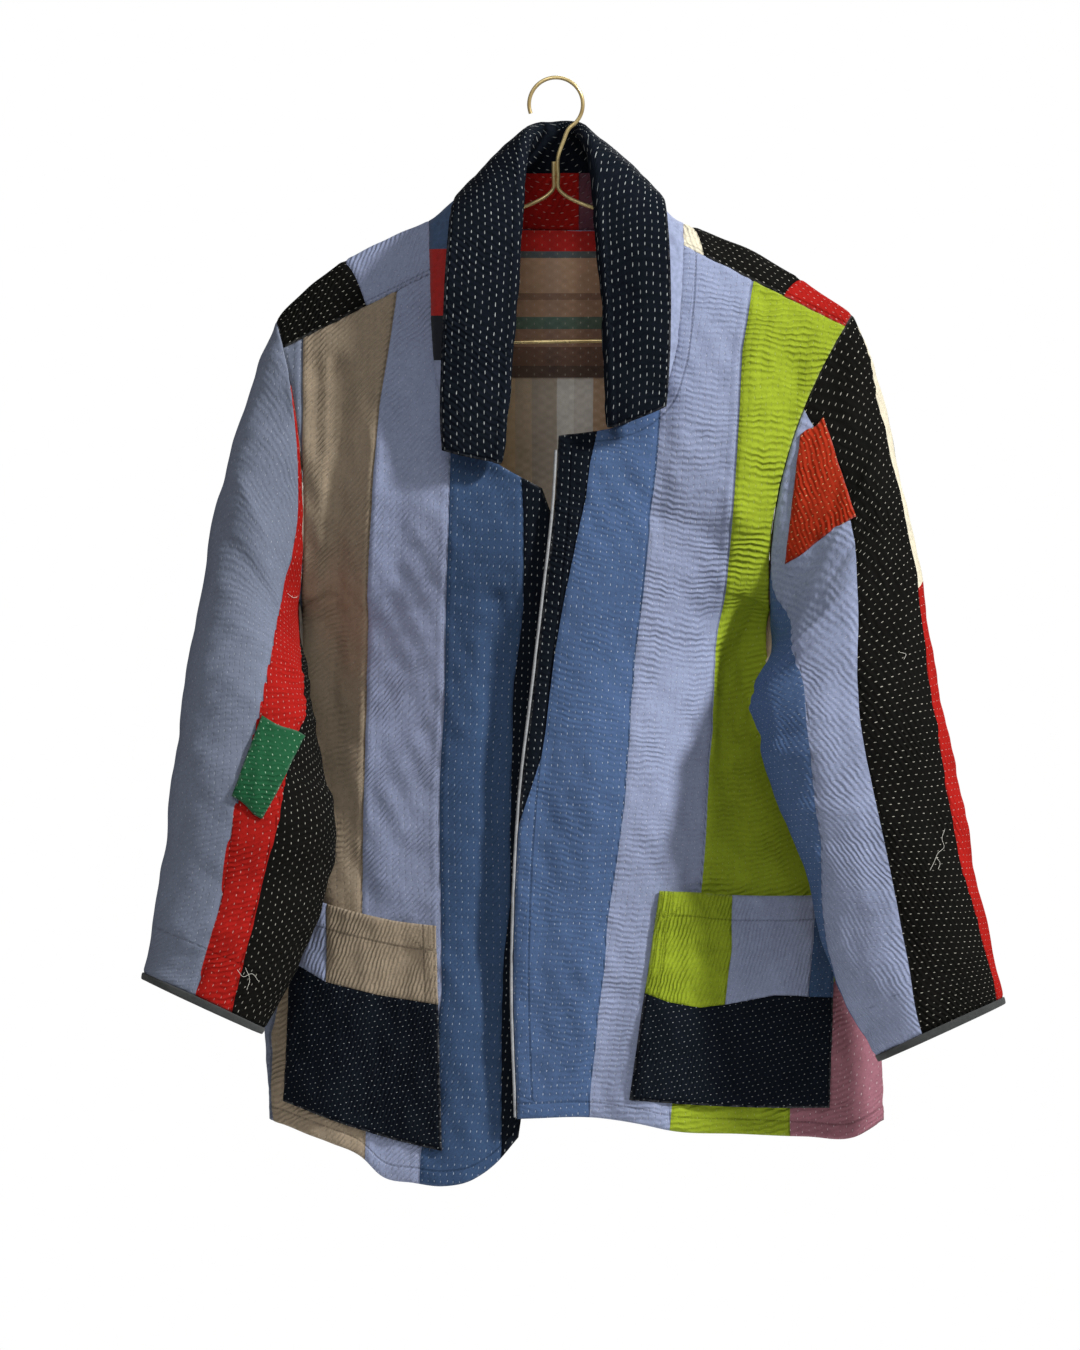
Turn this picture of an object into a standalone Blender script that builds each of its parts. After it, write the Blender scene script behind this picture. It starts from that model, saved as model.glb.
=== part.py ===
"""A patched and quilted open jacket, hanging on a wire hanger.

Everything is in metres. +Z is up, +X runs to the viewer's right, and the fronts face -Y.
The origin is the highest point inside the hanger's hook, where a rail carries it.
Right and left are the wearer's, so the right front is on the viewer's left.
Every cloth piece is a wall: a grid of points on its outer face, and the same grid moved inwards.
"""

import math

import bmesh
import bpy
import numpy as np

# Cloth and seams
CLOTH = 0.0025
APPLIQUE = 0.0012
BINDING = 0.0034
UNDERARM_PINCH = 0.58
SEAM_GAP = 0.0004
ARMHOLE_GAP = 0.0011
COLLAR_GAP = 0.0012
GREEN_PATCH_GAP = 0.0015
ORANGE_PATCH_GAP = 0.0009
POCKET_GAP = 0.0010
CHANNEL_RISE = 0.0008

# Wire hanger
WIRE = 0.0032
HOOK_RADIUS = 0.0216
STEM_GAP = 0.0004
YOKE_Z = -0.094
SHORT_END_Z = -0.066
ARM_END_X = 0.190
ARM_END_Z = -0.16478
HANGER_HALF_WIDTH = 0.201
BAR_Z = -0.2105
HANGER_TILT = math.radians(0.834)

# Grid sizes: columns across and rows down
FRONT_COLUMNS = 23
FRONT_ROWS = (8, 3, 12)
BACK_COLUMNS = 40
BACK_ROWS = (10, 11)
SLEEVE_GRID = (24, 18)
YOKE_GRID = (9, 4)
POCKET_GRID = (10, 9)
PATCH_GRID = (7, 7)
COLLAR_COLUMNS = (13, 2, 12)

# Rows of a body panel, as shares of its height, where its outline changes
CORNER = 0.28
UNDERARM = 0.36
SEAM_TURN_BACK = -0.054

# Which way a wall goes from its outer edge at a seam, the same for both pieces
IN_AT_FRONT_YOKE = (0.0, 0.75, -0.66)
IN_AT_BACK_YOKE = (0.0, -0.75, -0.66)


def through(knots, values):
    """A smooth curve through the values, one value or point for each knot."""
    knots = np.asarray(knots, float)
    values = np.asarray(values, float).reshape(len(knots), -1)
    slopes = np.gradient(values, knots, axis=0)

    def at(t):
        t = np.clip(np.asarray(t, float), knots[0], knots[-1])
        i = np.clip(np.searchsorted(knots, t, side="right") - 1, 0, len(knots) - 2)
        span = (knots[i + 1] - knots[i])[..., None]
        s = (t - knots[i])[..., None] / span
        near, far = values[i], values[i + 1]
        leave, arrive = slopes[i] * span, slopes[i + 1] * span
        return (
            near * (1 + 2 * s) * (1 - s) ** 2
            + leave * s * (1 - s) ** 2
            + far * s**2 * (3 - 2 * s)
            + arrive * s**2 * (s - 1)
        )

    return at


def ease(t):
    """0 below 0, 1 above 1 and smooth between them."""
    t = np.clip(t, 0, 1)
    return t * t * (3 - 2 * t)


def unit(vectors):
    return vectors / np.maximum(np.linalg.norm(vectors, axis=-1, keepdims=True), 1e-12)


def folds_at(x, z, folds):
    """How far the folds lift the cloth at x, z. Each is (x, z, x, z, half width, lift)."""
    lift = np.zeros(np.broadcast(x, z).shape)
    for x0, z0, x1, z1, half, rise in folds:
        run = np.array([x1 - x0, z1 - z0])
        along = ((x - x0) * run[0] + (z - z0) * run[1]) / (run @ run)
        across = np.hypot(
            x - x0 - np.clip(along, 0, 1) * run[0], z - z0 - np.clip(along, 0, 1) * run[1]
        )
        lift = lift + rise * np.exp(-((across / half) ** 2))
    return lift


class Side:
    """One half of the jacket: its sleeve, its front and the seams that they share."""

    def __init__(self, sign, sleeve, neckline, edge, seam, hem, folds, bulge, bow, seam_turn, cuff):
        self.sign = sign
        self.bow = bow
        self.seam_turn = seam_turn
        self.cuff = cuff
        rings = np.array(sleeve)
        self.ring = through(rings[:, 0], rings[:, 1:])
        neckline, edge, seam, hem = (np.array(t) for t in (neckline, edge, seam, hem))
        self.neckline = through(neckline[:, 0], neckline[:, 1:])
        self.edge = through(edge[:, 0], edge[:, 1:])
        self.seam = through(seam[:, 0], seam[:, 1:])
        self.hem = through(hem[:, 0], hem[:, 1:])
        self.folds = folds
        self.bulge = bulge

    def tube(self, s, turn):
        """The sleeve's outer face. s is 0 at the armhole and 1 at the cuff.
        turn is 0 on the shoulder side, a quarter at the front and a half under the arm."""
        s, turn = np.broadcast_arrays(np.asarray(s, float), np.asarray(turn, float))
        ox, oz, ix, iz, yc, half = np.moveaxis(self.ring(s), -1, 0)
        angle = 2 * math.pi * turn
        c, q = np.cos(angle), np.sin(angle)
        x = (ox + ix) / 2 + (ox - ix) / 2 * c - self.sign * self.bow_at(s, q)
        z = (oz + iz) / 2 + (oz - iz) / 2 * c
        return np.stack([x, yc - half * q, z], -1)

    def bow_at(self, s, q):
        """How far the armhole bends towards the body at its front and back."""
        return self.bow * np.exp(-((s / 0.14) ** 2)) * q**2

    def inner_line(self, v):
        """The neckline down to the front corner, and then the front edge."""
        v = np.asarray(v, float)
        return np.where((v < CORNER)[..., None], self.neckline(v), self.edge(v))

    def outer_line(self, v, turn_at_top):
        """The armhole down to the underarm, and then the side seam."""
        v = np.asarray(v, float)
        share = np.clip(v / UNDERARM, 0, 1)
        half_turn = math.copysign(0.5, turn_at_top)
        around = self.tube(0.0, turn_at_top + (half_turn - turn_at_top) * share)
        return np.where((v < UNDERARM)[..., None], around, self.seam(v))

    def front(self, across, v):
        """The front's outer face. across is 0 at the front edge and 1 at the side seam."""
        across, v = np.broadcast_arrays(np.asarray(across, float), np.asarray(v, float))
        near, far = self.inner_line(v), self.outer_line(v, self.seam_turn)
        power, root = np.moveaxis(FRONT_SECTION(v), -1, 0)
        rounded = (1 - np.clip(across, 0, 1) ** power) ** (1 / root)
        x = near[..., 0] + (far[..., 0] - near[..., 0]) * across
        z = near[..., 2] + (far[..., 2] - near[..., 2]) * across
        z = z + self.hem(across)[..., 0] * ease((v - 0.5) / 0.5)
        y = far[..., 1] + (near[..., 1] - far[..., 1]) * rounded
        full = self.bulge * np.sin(math.pi * across) * np.sin(math.pi * np.clip(v / 0.5, 0, 1))
        faded = ease(v / 0.06) * ease((1 - across) / 0.06)
        y = y - full - folds_at(x, z, self.folds) * faded
        return np.stack([x, y, z], -1)

    def front_share(self, x, z):
        """Where on the front the point x, z of the front view lies, as (across, v)."""
        low, high = np.zeros(np.shape(x)), np.ones(np.shape(x))
        for _ in range(40):
            v = (low + high) / 2
            near, far = self.inner_line(v), self.outer_line(v, self.seam_turn)
            across = np.clip((x - near[..., 0]) / (far[..., 0] - near[..., 0]), 0, 1)
            row_z = near[..., 2] + (far[..., 2] - near[..., 2]) * across
            row_z = row_z + self.hem(across)[..., 0] * ease((v - 0.5) / 0.5)
            below = row_z > z
            low, high = np.where(below, v, low), np.where(below, high, v)
        return across, v

    def tube_share(self, x, z):
        """Where on the front half of the sleeve the point x, z lies, as (s, turn)."""
        straight = np.array(x, float)
        for _ in range(8):
            low, high = np.zeros(np.shape(x)), np.ones(np.shape(x))
            for _ in range(30):
                s = (low + high) / 2
                ox, oz, ix, iz = np.moveaxis(self.ring(s)[..., :4], -1, 0)
                beyond = self.sign * ((ox - ix) * (z - iz) - (oz - iz) * (straight - ix)) < 0
                low, high = np.where(beyond, s, low), np.where(beyond, high, s)
            along = (straight - ix) * (ox - ix) + (z - iz) * (oz - iz)
            share = along / ((ox - ix) ** 2 + (oz - iz) ** 2)
            turn = np.arccos(np.clip(2 * share - 1, -1, 1)) / (2 * math.pi)
            straight = x + self.sign * self.bow_at(s, np.sin(2 * math.pi * turn))
        return s, turn


# How round a front is across, as two exponents for each row: flat at the armhole, full at the hem
FRONT_SECTION = through(
    [0.0, 0.2, 0.36, 0.5, 0.64, 0.8, 1.0],
    [(2, 1), (2, 1), (2, 1.1), (2, 1.3), (2.1, 2), (2.4, 2.3), (2.6, 2.6)],
)

# The sleeve's rings: share of its length, outer x and z, inner x and z, middle y, half depth.
# The neckline and the front edge: row, x, y, z. The side seam: row, x, y, z.
# The hem: share across, and how far it drops below a straight line.
RIGHT = Side(
    sign=-1,
    sleeve=[
        (0.00, -0.2250, -0.1940, -0.2070, -0.4200, 0.000, 0.036),
        (0.08, -0.2400, -0.2330, -0.2068, -0.4340, -0.005, 0.038),
        (0.16, -0.2530, -0.2730, -0.2058, -0.4470, -0.011, 0.040),
        (0.24, -0.2640, -0.3130, -0.2030, -0.4590, -0.018, 0.042),
        (0.32, -0.2745, -0.3560, -0.2000, -0.4710, -0.022, 0.043),
        (0.40, -0.2830, -0.4020, -0.1970, -0.4850, -0.032, 0.043),
        (0.48, -0.2910, -0.4500, -0.1935, -0.5080, -0.042, 0.043),
        (0.56, -0.2985, -0.5000, -0.1870, -0.5370, -0.052, 0.043),
        (0.64, -0.3050, -0.5500, -0.1795, -0.5740, -0.062, 0.043),
        (0.72, -0.3110, -0.6020, -0.1765, -0.6140, -0.066, 0.042),
        (0.80, -0.3180, -0.6500, -0.1850, -0.6580, -0.070, 0.041),
        (0.88, -0.3240, -0.6850, -0.2010, -0.6970, -0.074, 0.038),
        (0.95, -0.3285, -0.7070, -0.2180, -0.7350, -0.077, 0.034),
        (1.00, -0.3305, -0.7210, -0.2350, -0.7650, -0.079, 0.030),
    ],
    neckline=[
        (0.000, -0.1000, -0.026, -0.1560),
        (0.070, -0.0985, -0.040, -0.2000),
        (0.140, -0.0925, -0.050, -0.2500),
        (0.195, -0.0770, -0.056, -0.2830),
        (0.240, -0.0480, -0.059, -0.3085),
        (0.280, -0.0110, -0.060, -0.3290),
    ],
    edge=[
        (0.28, -0.0110, -0.060, -0.3290),
        (0.33, -0.0010, -0.059, -0.3600),
        (0.42, 0.0050, -0.056, -0.4300),
        (0.60, 0.0000, -0.053, -0.5650),
        (0.80, -0.0100, -0.053, -0.7050),
        (1.00, -0.0300, -0.058, -0.8480),
    ],
    seam=[
        (0.36, -0.2070, 0.000, -0.4200),
        (0.38, -0.2048, 0.011, -0.4350),
        (0.42, -0.2045, 0.017, -0.4600),
        (0.54, -0.2088, 0.018, -0.5350),
        (0.70, -0.2170, 0.018, -0.6400),
        (0.88, -0.2340, 0.012, -0.7600),
        (1.00, -0.2300, 0.010, -0.8350),
    ],
    hem=[
        (0.00, 0.000),
        (0.09, -0.022),
        (0.18, -0.036),
        (0.30, -0.043),
        (0.42, -0.042),
        (0.55, -0.038),
        (0.63, -0.024),
        (0.75, -0.015),
        (0.90, -0.006),
        (1.00, 0.000),
    ],
    folds=[
        (-0.168, -0.240, -0.178, -0.520, 0.013, -0.008),
        (-0.146, -0.300, -0.158, -0.560, 0.016, 0.004),
        (-0.193, -0.225, -0.190, -0.300, 0.007, -0.003),
        (-0.048, -0.420, -0.046, -0.780, 0.012, -0.004),
        (-0.078, -0.500, -0.080, -0.880, 0.022, 0.005),
        (-0.150, -0.840, -0.125, -0.700, 0.020, -0.004),
    ],
    bulge=0.006,
    bow=0.012,
    seam_turn=0.101,
    cuff=0.984,
)
LEFT = Side(
    sign=1,
    sleeve=[
        (0.00, 0.2380, -0.1890, 0.1720, -0.4280, 0.000, 0.036),
        (0.08, 0.2520, -0.2220, 0.1745, -0.4430, -0.001, 0.040),
        (0.16, 0.2620, -0.2560, 0.1740, -0.4560, -0.004, 0.043),
        (0.24, 0.2705, -0.2920, 0.1700, -0.4670, -0.010, 0.044),
        (0.32, 0.2780, -0.3280, 0.1645, -0.4760, -0.019, 0.044),
        (0.40, 0.2850, -0.3660, 0.1590, -0.4850, -0.031, 0.043),
        (0.48, 0.2925, -0.4080, 0.1560, -0.4970, -0.045, 0.043),
        (0.55, 0.3000, -0.4540, 0.1560, -0.5140, -0.060, 0.042),
        (0.62, 0.3090, -0.5030, 0.1620, -0.5350, -0.077, 0.042),
        (0.70, 0.3190, -0.5540, 0.1760, -0.5730, -0.088, 0.041),
        (0.78, 0.3290, -0.6060, 0.1900, -0.6140, -0.097, 0.040),
        (0.86, 0.3385, -0.6550, 0.2040, -0.6570, -0.103, 0.038),
        (0.92, 0.3470, -0.6960, 0.2170, -0.7020, -0.107, 0.035),
        (0.97, 0.3540, -0.7230, 0.2370, -0.7510, -0.110, 0.032),
        (1.00, 0.3575, -0.7400, 0.2570, -0.7860, -0.111, 0.029),
    ],
    neckline=[
        (0.000, 0.1015, -0.024, -0.1330),
        (0.070, 0.0990, -0.040, -0.1800),
        (0.140, 0.0930, -0.051, -0.2280),
        (0.195, 0.0790, -0.058, -0.2600),
        (0.240, 0.0470, -0.063, -0.2800),
        (0.280, 0.0020, -0.066, -0.2870),
    ],
    edge=[
        (0.28, 0.0020, -0.066, -0.2870),
        (0.33, -0.0005, -0.067, -0.3350),
        (0.42, -0.0095, -0.068, -0.4180),
        (0.50, -0.0180, -0.069, -0.4900),
        (0.60, -0.0270, -0.069, -0.5650),
        (0.80, -0.0340, -0.068, -0.7100),
        (1.00, -0.0310, -0.069, -0.8330),
    ],
    seam=[
        (0.36, 0.1720, 0.000, -0.4280),
        (0.38, 0.1700, 0.011, -0.4420),
        (0.42, 0.1710, 0.017, -0.4660),
        (0.54, 0.1860, 0.020, -0.5400),
        (0.70, 0.2240, 0.018, -0.6420),
        (0.88, 0.2600, 0.012, -0.7600),
        (1.00, 0.2640, 0.010, -0.8300),
    ],
    hem=[
        (0.00, 0.000),
        (0.22, 0.000),
        (0.33, -0.005),
        (0.42, -0.011),
        (0.60, -0.014),
        (0.78, -0.017),
        (0.92, -0.018),
        (1.00, -0.006),
    ],
    folds=[
        (0.168, -0.190, 0.148, -0.350, 0.016, 0.006),
        (0.148, -0.350, 0.136, -0.520, 0.016, 0.005),
        (0.086, -0.260, 0.080, -0.350, 0.010, -0.004),
        (0.030, -0.420, 0.010, -0.700, 0.030, 0.004),
        (0.100, -0.520, 0.110, -0.640, 0.018, -0.004),
        (0.070, -0.840, 0.095, -0.760, 0.018, 0.004),
        (0.030, -0.830, 0.050, -0.740, 0.016, -0.005),
    ],
    bulge=0.005,
    bow=0.021,
    seam_turn=0.064,
    cuff=0.9905,
)

# The ridge that the shoulders and the back neck make: x, z
RIDGE = through(
    [-0.2250, -0.2070, -0.1900, -0.1650, -0.1350, -0.1010, 0.1010, 0.1300, 0.1630, 0.1900, 0.2150, 0.2380],
    [-0.1940, -0.1765, -0.1625, -0.1460, -0.1310, -0.1160, -0.1160, -0.1265, -0.1415, -0.1575, -0.1725, -0.1890],
)
NECK_HALF = 0.101
NECK_DIP = 0.015
NECK_DEPTH = 0.028
RIDGE_BACK = 0.012
RIDGE_DROP = 0.006
BACK_DEPTH = through([0.0, 0.15, 0.4, 0.7, 1.0], [0.016, 0.034, 0.047, 0.050, 0.046])
BACK_HEM = through([-1, -0.6, -0.2, 0.15, 0.5, 0.8, 1], [0.0, -0.006, 0.002, -0.004, -0.008, -0.002, 0.0])
BACK_FOLDS = [
    (-0.120, -0.260, -0.150, -0.700, 0.022, 0.007),
    (-0.060, -0.300, -0.070, -0.840, 0.026, -0.006),
    (0.030, -0.420, 0.045, -0.840, 0.024, 0.006),
    (0.120, -0.260, 0.150, -0.760, 0.024, -0.007),
    (0.190, -0.560, 0.200, -0.840, 0.018, 0.005),
]


def back(across, v):
    """The back's outer face. across runs from -1 at the right side seam to 1 at the left."""
    across, v = np.broadcast_arrays(np.asarray(across, float), np.asarray(v, float))
    right, left = RIGHT.outer_line(v, SEAM_TURN_BACK), LEFT.outer_line(v, SEAM_TURN_BACK)
    share = (1 + across) / 2
    line = right + (left - right) * share[..., None]
    x, z = line[..., 0], line[..., 2]
    neck = np.clip(1 - (x / NECK_HALF) ** 2, 0, 1)
    ridge_z = RIDGE(x)[..., 0] - RIDGE_DROP - NECK_DIP * neck
    rows_up = np.clip(1 - v / 0.45, 0, 1) ** 2
    chord_z = right[..., 2] + (left[..., 2] - right[..., 2]) * share
    armhole = ease(v / 0.04) * (1 - ease((v - 0.30) / 0.06))
    raised = 1 - np.abs(across) ** 3 * armhole
    x = x - 0.0016 * across**5 * armhole
    z = z + (ridge_z - chord_z) * rows_up * raised + BACK_HEM(across)[..., 0] * ease((v - 0.5) / 0.5)
    power = 2.4
    rounded = (1 - np.abs(across) ** power) ** (1 / power)
    section = line[..., 1] + (BACK_DEPTH(v)[..., 0] - line[..., 1]) * rounded
    top = RIDGE_BACK + NECK_DEPTH * neck
    settled = ease(v / 0.2)
    settled = settled + (1 - settled) * np.abs(across) ** 8 * ease(v / 0.05)
    faded = ease(v / 0.1) * ease((1 - np.abs(across)) / 0.08)
    y = top + (section - top) * settled + folds_at(x, z, BACK_FOLDS) * faded
    y = np.where(np.abs(across) > 1 - 1e-9, line[..., 1], y)
    return np.stack([x, y, z], -1)


def normals_of(points, outwards):
    """The unit normal at each grid point, on the side that the vector outwards points to."""
    down, across = np.gradient(points, axis=0), np.gradient(points, axis=1)
    normal = unit(np.cross(across, down))
    if np.sum(normal * outwards) < 0:
        normal = -normal
    return normal


def paint(obj, name, colour, roughness=0.85, metallic=0.0):
    material = bpy.data.materials.new(name)
    material.use_nodes = True
    shader = material.node_tree.nodes["Principled BSDF"]
    shader.inputs["Base Color"].default_value = (*colour, 1)
    shader.inputs["Roughness"].default_value = roughness
    shader.inputs["Metallic"].default_value = metallic
    obj.data.materials.append(material)
    return obj


def wall(name, outer, inner, closed=False):
    """One solid between two grids of points. A closed grid's last column repeats its first."""
    rows, columns = outer.shape[:2]
    bm = bmesh.new()
    bmesh.ops.create_grid(bm, x_segments=columns - 1, y_segments=rows - 1, size=0.5)
    place = bm.verts.layers.int.new("place")
    for vert in bm.verts:
        column = round((vert.co.x + 0.5) * (columns - 1))
        row = round((vert.co.y + 0.5) * (rows - 1))
        vert[place] = row * columns + column
    made = bmesh.ops.extrude_face_region(bm, geom=bm.faces[:])
    moved = {item for item in made["geom"] if isinstance(item, bmesh.types.BMVert)}
    outer, inner = outer.reshape(-1, 3), inner.reshape(-1, 3)
    for vert in bm.verts:
        vert.co = (inner if vert in moved else outer)[vert[place]]
    if closed:
        facing = [f for f in bm.faces if is_end_face(f, place, columns)]
        bmesh.ops.delete(bm, geom=facing, context="FACES_ONLY")
        bmesh.ops.remove_doubles(bm, verts=bm.verts[:], dist=1e-5)
    bmesh.ops.recalc_face_normals(bm, faces=bm.faces[:])
    mesh = bpy.data.meshes.new(name)
    bm.to_mesh(mesh)
    bm.free()
    mesh.shade_smooth()
    mesh.set_sharp_from_angle(angle=math.radians(50))
    obj = bpy.data.objects.new(name, mesh)
    bpy.context.collection.objects.link(obj)
    return obj


def is_end_face(face, place, columns):
    """Whether a face of a closed wall lies across the thickness where its grid meets itself."""
    numbers = {vert[place] % columns for vert in face.verts}
    rows = {vert[place] // columns for vert in face.verts}
    return len(numbers) == 1 and numbers <= {0, columns - 1} and len(rows) == 2


def channels(shape, rise, round_it=False):
    """The quilted channels: every other column is raised, and the edges stay flat."""
    rows, columns = shape[:2]
    raised = np.zeros((rows, columns))
    raised[2:-2, 1 if round_it else 3 : -1 if round_it else -3 : 2] = rise
    return raised[..., None]


def panel(name, points, outwards, rise=CHANNEL_RISE, top=None, bottom=None, ends=()):
    """A cloth panel: its outer points with the quilting raised, over a plain inside.
    top and bottom are the ways in at those seams. ends are the rows and column of side seams,
    where the wall stays in the seam's own plane."""
    normal = normals_of(points, np.array(outwards, float))
    points = points.copy()
    for _, column in ends:
        points[:, column, 1] += math.copysign(SEAM_GAP, outwards[1])
    inwards = -normal
    for rows, column in ends:
        way = unit(inwards[rows, column] * (1, 0, 1))
        inwards[rows, column] = way
        for step, share in ((1, 0.55), (2, 0.25)):
            beside = column + step if column == 0 else column - step
            inwards[rows, beside] = unit(inwards[rows, beside] * (1 - share) + way * share)
    if top is not None:
        inwards[0] = top
    if bottom is not None:
        inwards[-1] = bottom
    return wall(name, points + normal * channels(points.shape, rise), points + inwards * CLOTH)


def quarter_steps(count):
    """Shares from 0 to 1 that crowd together towards 1, where the cloth turns away."""
    even = np.linspace(0, 1, count + 1)
    return 0.15 * even + 0.85 * np.sin(math.pi / 2 * even)


def body_rows():
    """Row shares of a front, with one row on the front corner and one on the underarm."""
    above, middle, below = FRONT_ROWS
    return np.concatenate(
        [
            np.linspace(0, CORNER, above + 1),
            np.linspace(CORNER, UNDERARM, middle + 1)[1:],
            np.linspace(UNDERARM, 1, below + 1)[1:],
        ]
    )


def build_front(side, name, colour):
    rows, steps = body_rows(), quarter_steps(FRONT_COLUMNS)
    points = side.front(steps[None, :], rows[:, None])
    side_seam = (rows >= UNDERARM - 1e-9, -1)
    solid = panel(name, points, (0, -1, 0), top=IN_AT_FRONT_YOKE, ends=[side_seam])
    return paint(solid, name + "_cloth", colour)


def build_back():
    above, below = BACK_ROWS
    rows = np.concatenate([np.linspace(0, UNDERARM, above + 1), np.linspace(UNDERARM, 1, below + 1)[1:]])
    half = quarter_steps(BACK_COLUMNS // 2)
    steps = np.concatenate([-half[::-1], half[1:]])
    points = back(steps[None, :], rows[:, None])
    lower = rows >= UNDERARM - 1e-9
    solid = panel("back", points, (0, 1, 0), top=IN_AT_BACK_YOKE, ends=[(lower, 0), (lower, -1)])
    return paint(solid, "back_cloth", (0.29, 0.33, 0.43))


def yoke_points(side, rows, columns):
    """The strip over the shoulder, from the front's top seam over the ridge to the back's."""
    u = np.linspace(0, 1, columns + 1)
    front_seam = side.front(u, 0.0)
    tip_x = side.tube(0.0, 0.0)[0]
    ridge_x = side.sign * NECK_HALF + (tip_x - side.sign * NECK_HALF) * u
    ridge = np.stack([ridge_x, np.zeros_like(u) - 0.001, RIDGE(ridge_x)[:, 0]], -1)
    back_x = side.sign * NECK_HALF + (side.tube(0.0, SEAM_TURN_BACK)[0] - side.sign * NECK_HALF) * u
    top = back(np.linspace(-1, 1, 1200), 0.0)
    back_seam = np.stack([back_x] + [np.interp(back_x, top[:, 0], top[:, k]) for k in (1, 2)], -1)
    front_seam = front_seam + unit(ridge - front_seam) * SEAM_GAP
    back_seam = back_seam + unit(ridge - back_seam) * SEAM_GAP
    q = np.linspace(0, 1, rows + 1)[:, None, None]
    strip = front_seam * (1 - q) * (1 - 2 * q) + ridge * 4 * q * (1 - q) + back_seam * q * (2 * q - 1)
    armhole = side.tube(0.0, side.seam_turn + (SEAM_TURN_BACK - side.seam_turn) * q[:, 0, 0])
    strip[1:-1] += (armhole - strip[:, -1])[1:-1, None] * u[:, None] ** 4
    return strip


def build_yoke(side, name, colour):
    points = yoke_points(side, YOKE_GRID[1], YOKE_GRID[0])
    solid = panel(name, points, (0, 0, 1), 0.0, top=IN_AT_FRONT_YOKE, bottom=IN_AT_BACK_YOKE)
    return paint(solid, name + "_cloth", colour)


def sleeve_points(side, first, last, rows, columns, inset=0.0):
    """A stretch of the sleeve, moved in by inset in the plane of each ring."""
    s = np.linspace(first, last, rows + 1)[:, None]
    turn = np.linspace(0, 1, columns + 1)[None, :]
    points = side.tube(s, turn)
    centre = points[:, :-1].mean(axis=1, keepdims=True)
    spoke = points - centre
    lift = sleeve_folds(side, s, turn)
    points = centre + spoke + unit(spoke) * (lift - inset)[..., None]
    points[..., 0] += side.sign * ARMHOLE_GAP * np.exp(-s / 0.05)
    return points


def tube_normals(points):
    """The outward normals of a closed grid, kept in the ring's own plane at both of its ends."""
    spoke = unit(points - points[:, :-1].mean(axis=1, keepdims=True))
    around = np.roll(points[:, :-1], -1, axis=1) - np.roll(points[:, :-1], 1, axis=1)
    around = np.concatenate([around, around[:, :1]], axis=1)
    normal = unit(np.cross(around, np.gradient(points, axis=0)))
    if np.sum(normal * spoke) < 0:
        normal = -normal
    normal[[0, -1]] = spoke[[0, -1]]
    return normal


SLEEVE_FOLDS = [
    (0.46, 0.38, 0.055, 0.14, 0.0035),
    (0.57, 0.42, 0.050, 0.14, -0.0040),
    (0.68, 0.36, 0.055, 0.12, 0.0030),
    (0.80, 0.34, 0.055, 0.12, -0.0020),
    (0.56, 0.70, 0.060, 0.14, -0.0040),
    (0.68, 0.66, 0.060, 0.14, 0.0035),
]


def sleeve_folds(side, s, turn):
    """Soft creases at the elbow and under the arm, as (s, turn, half length, half turn, lift)."""
    lift = np.zeros(np.broadcast(s, turn).shape)
    for at_s, at_turn, half_s, half_turn, rise in SLEEVE_FOLDS:
        away = (np.asarray(turn) - at_turn + 0.5) % 1 - 0.5
        slanted = s - at_s - side.sign * 0.25 * away
        lift = lift + rise * np.exp(-((slanted / half_s) ** 2) - (away / half_turn) ** 2)
    return lift


def build_sleeve(side, name, colour):
    columns, rows = SLEEVE_GRID
    outer = sleeve_points(side, 0, side.cuff, rows, columns)
    normal = tube_normals(outer)
    s, turn = np.linspace(0, side.cuff, rows + 1)[:, None], np.linspace(0, 1, columns + 1)
    pinch = np.exp(-(((s - 0.20) / 0.20) ** 4) - ((turn - 0.5) / 0.10) ** 2)
    inner = outer - normal * CLOTH * (1 - UNDERARM_PINCH * pinch[..., None])
    outer = outer + normal * channels(outer.shape, CHANNEL_RISE, round_it=True)
    return paint(wall(name, outer, inner, closed=True), name + "_cloth", colour)


CUFF_GAP_SHARE = 0.0005


def build_cuff(side, name):
    columns = SLEEVE_GRID[0]
    proud = (BINDING - CLOTH) / 2
    outer = sleeve_points(side, side.cuff + CUFF_GAP_SHARE, 1, 2, columns, -proud)
    inner = sleeve_points(side, side.cuff + CUFF_GAP_SHARE, 1, 2, columns, CLOTH + proud)
    return paint(wall(name, outer, inner, closed=True), name + "_cloth", (0.05, 0.055, 0.06))


def between(corners, rows, columns, bow=0.0):
    """A grid of x, z inside four corners: top inner, top outer, bottom inner, bottom outer."""
    a, b, c, d = (np.array(p) for p in corners)
    q = np.linspace(0, 1, rows + 1)[:, None, None]
    u = np.linspace(0, 1, columns + 1)[None, :, None]
    grid = (a * (1 - u) + b * u) * (1 - q) + (c * (1 - u) + d * u) * q
    grid[..., 1] -= bow * np.sin(math.pi * u[..., 0])
    return grid


def build_pocket(side, name, corners, bow, colour):
    """A patch pocket on the front, made from the front's own points, moved out."""
    columns, rows = POCKET_GRID
    grid = between(corners, rows, columns, bow)
    across, v = side.front_share(grid[..., 0], grid[..., 1])
    on_front = side.front(across, v)
    normal = normals_of(on_front, np.array([0, -1, 0]))
    open_mouth = np.linspace(1, 0, rows + 1)[:, None] ** 2 * np.sin(math.pi * np.linspace(0, 1, columns + 1))
    base = on_front + normal * (POCKET_GAP + CHANNEL_RISE + 0.0025 * open_mouth[..., None])
    outer = base + normal * CLOTH
    outer = outer + normal * channels(outer.shape, CHANNEL_RISE)
    return paint(wall(name, outer, base), name + "_cloth", colour)


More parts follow.
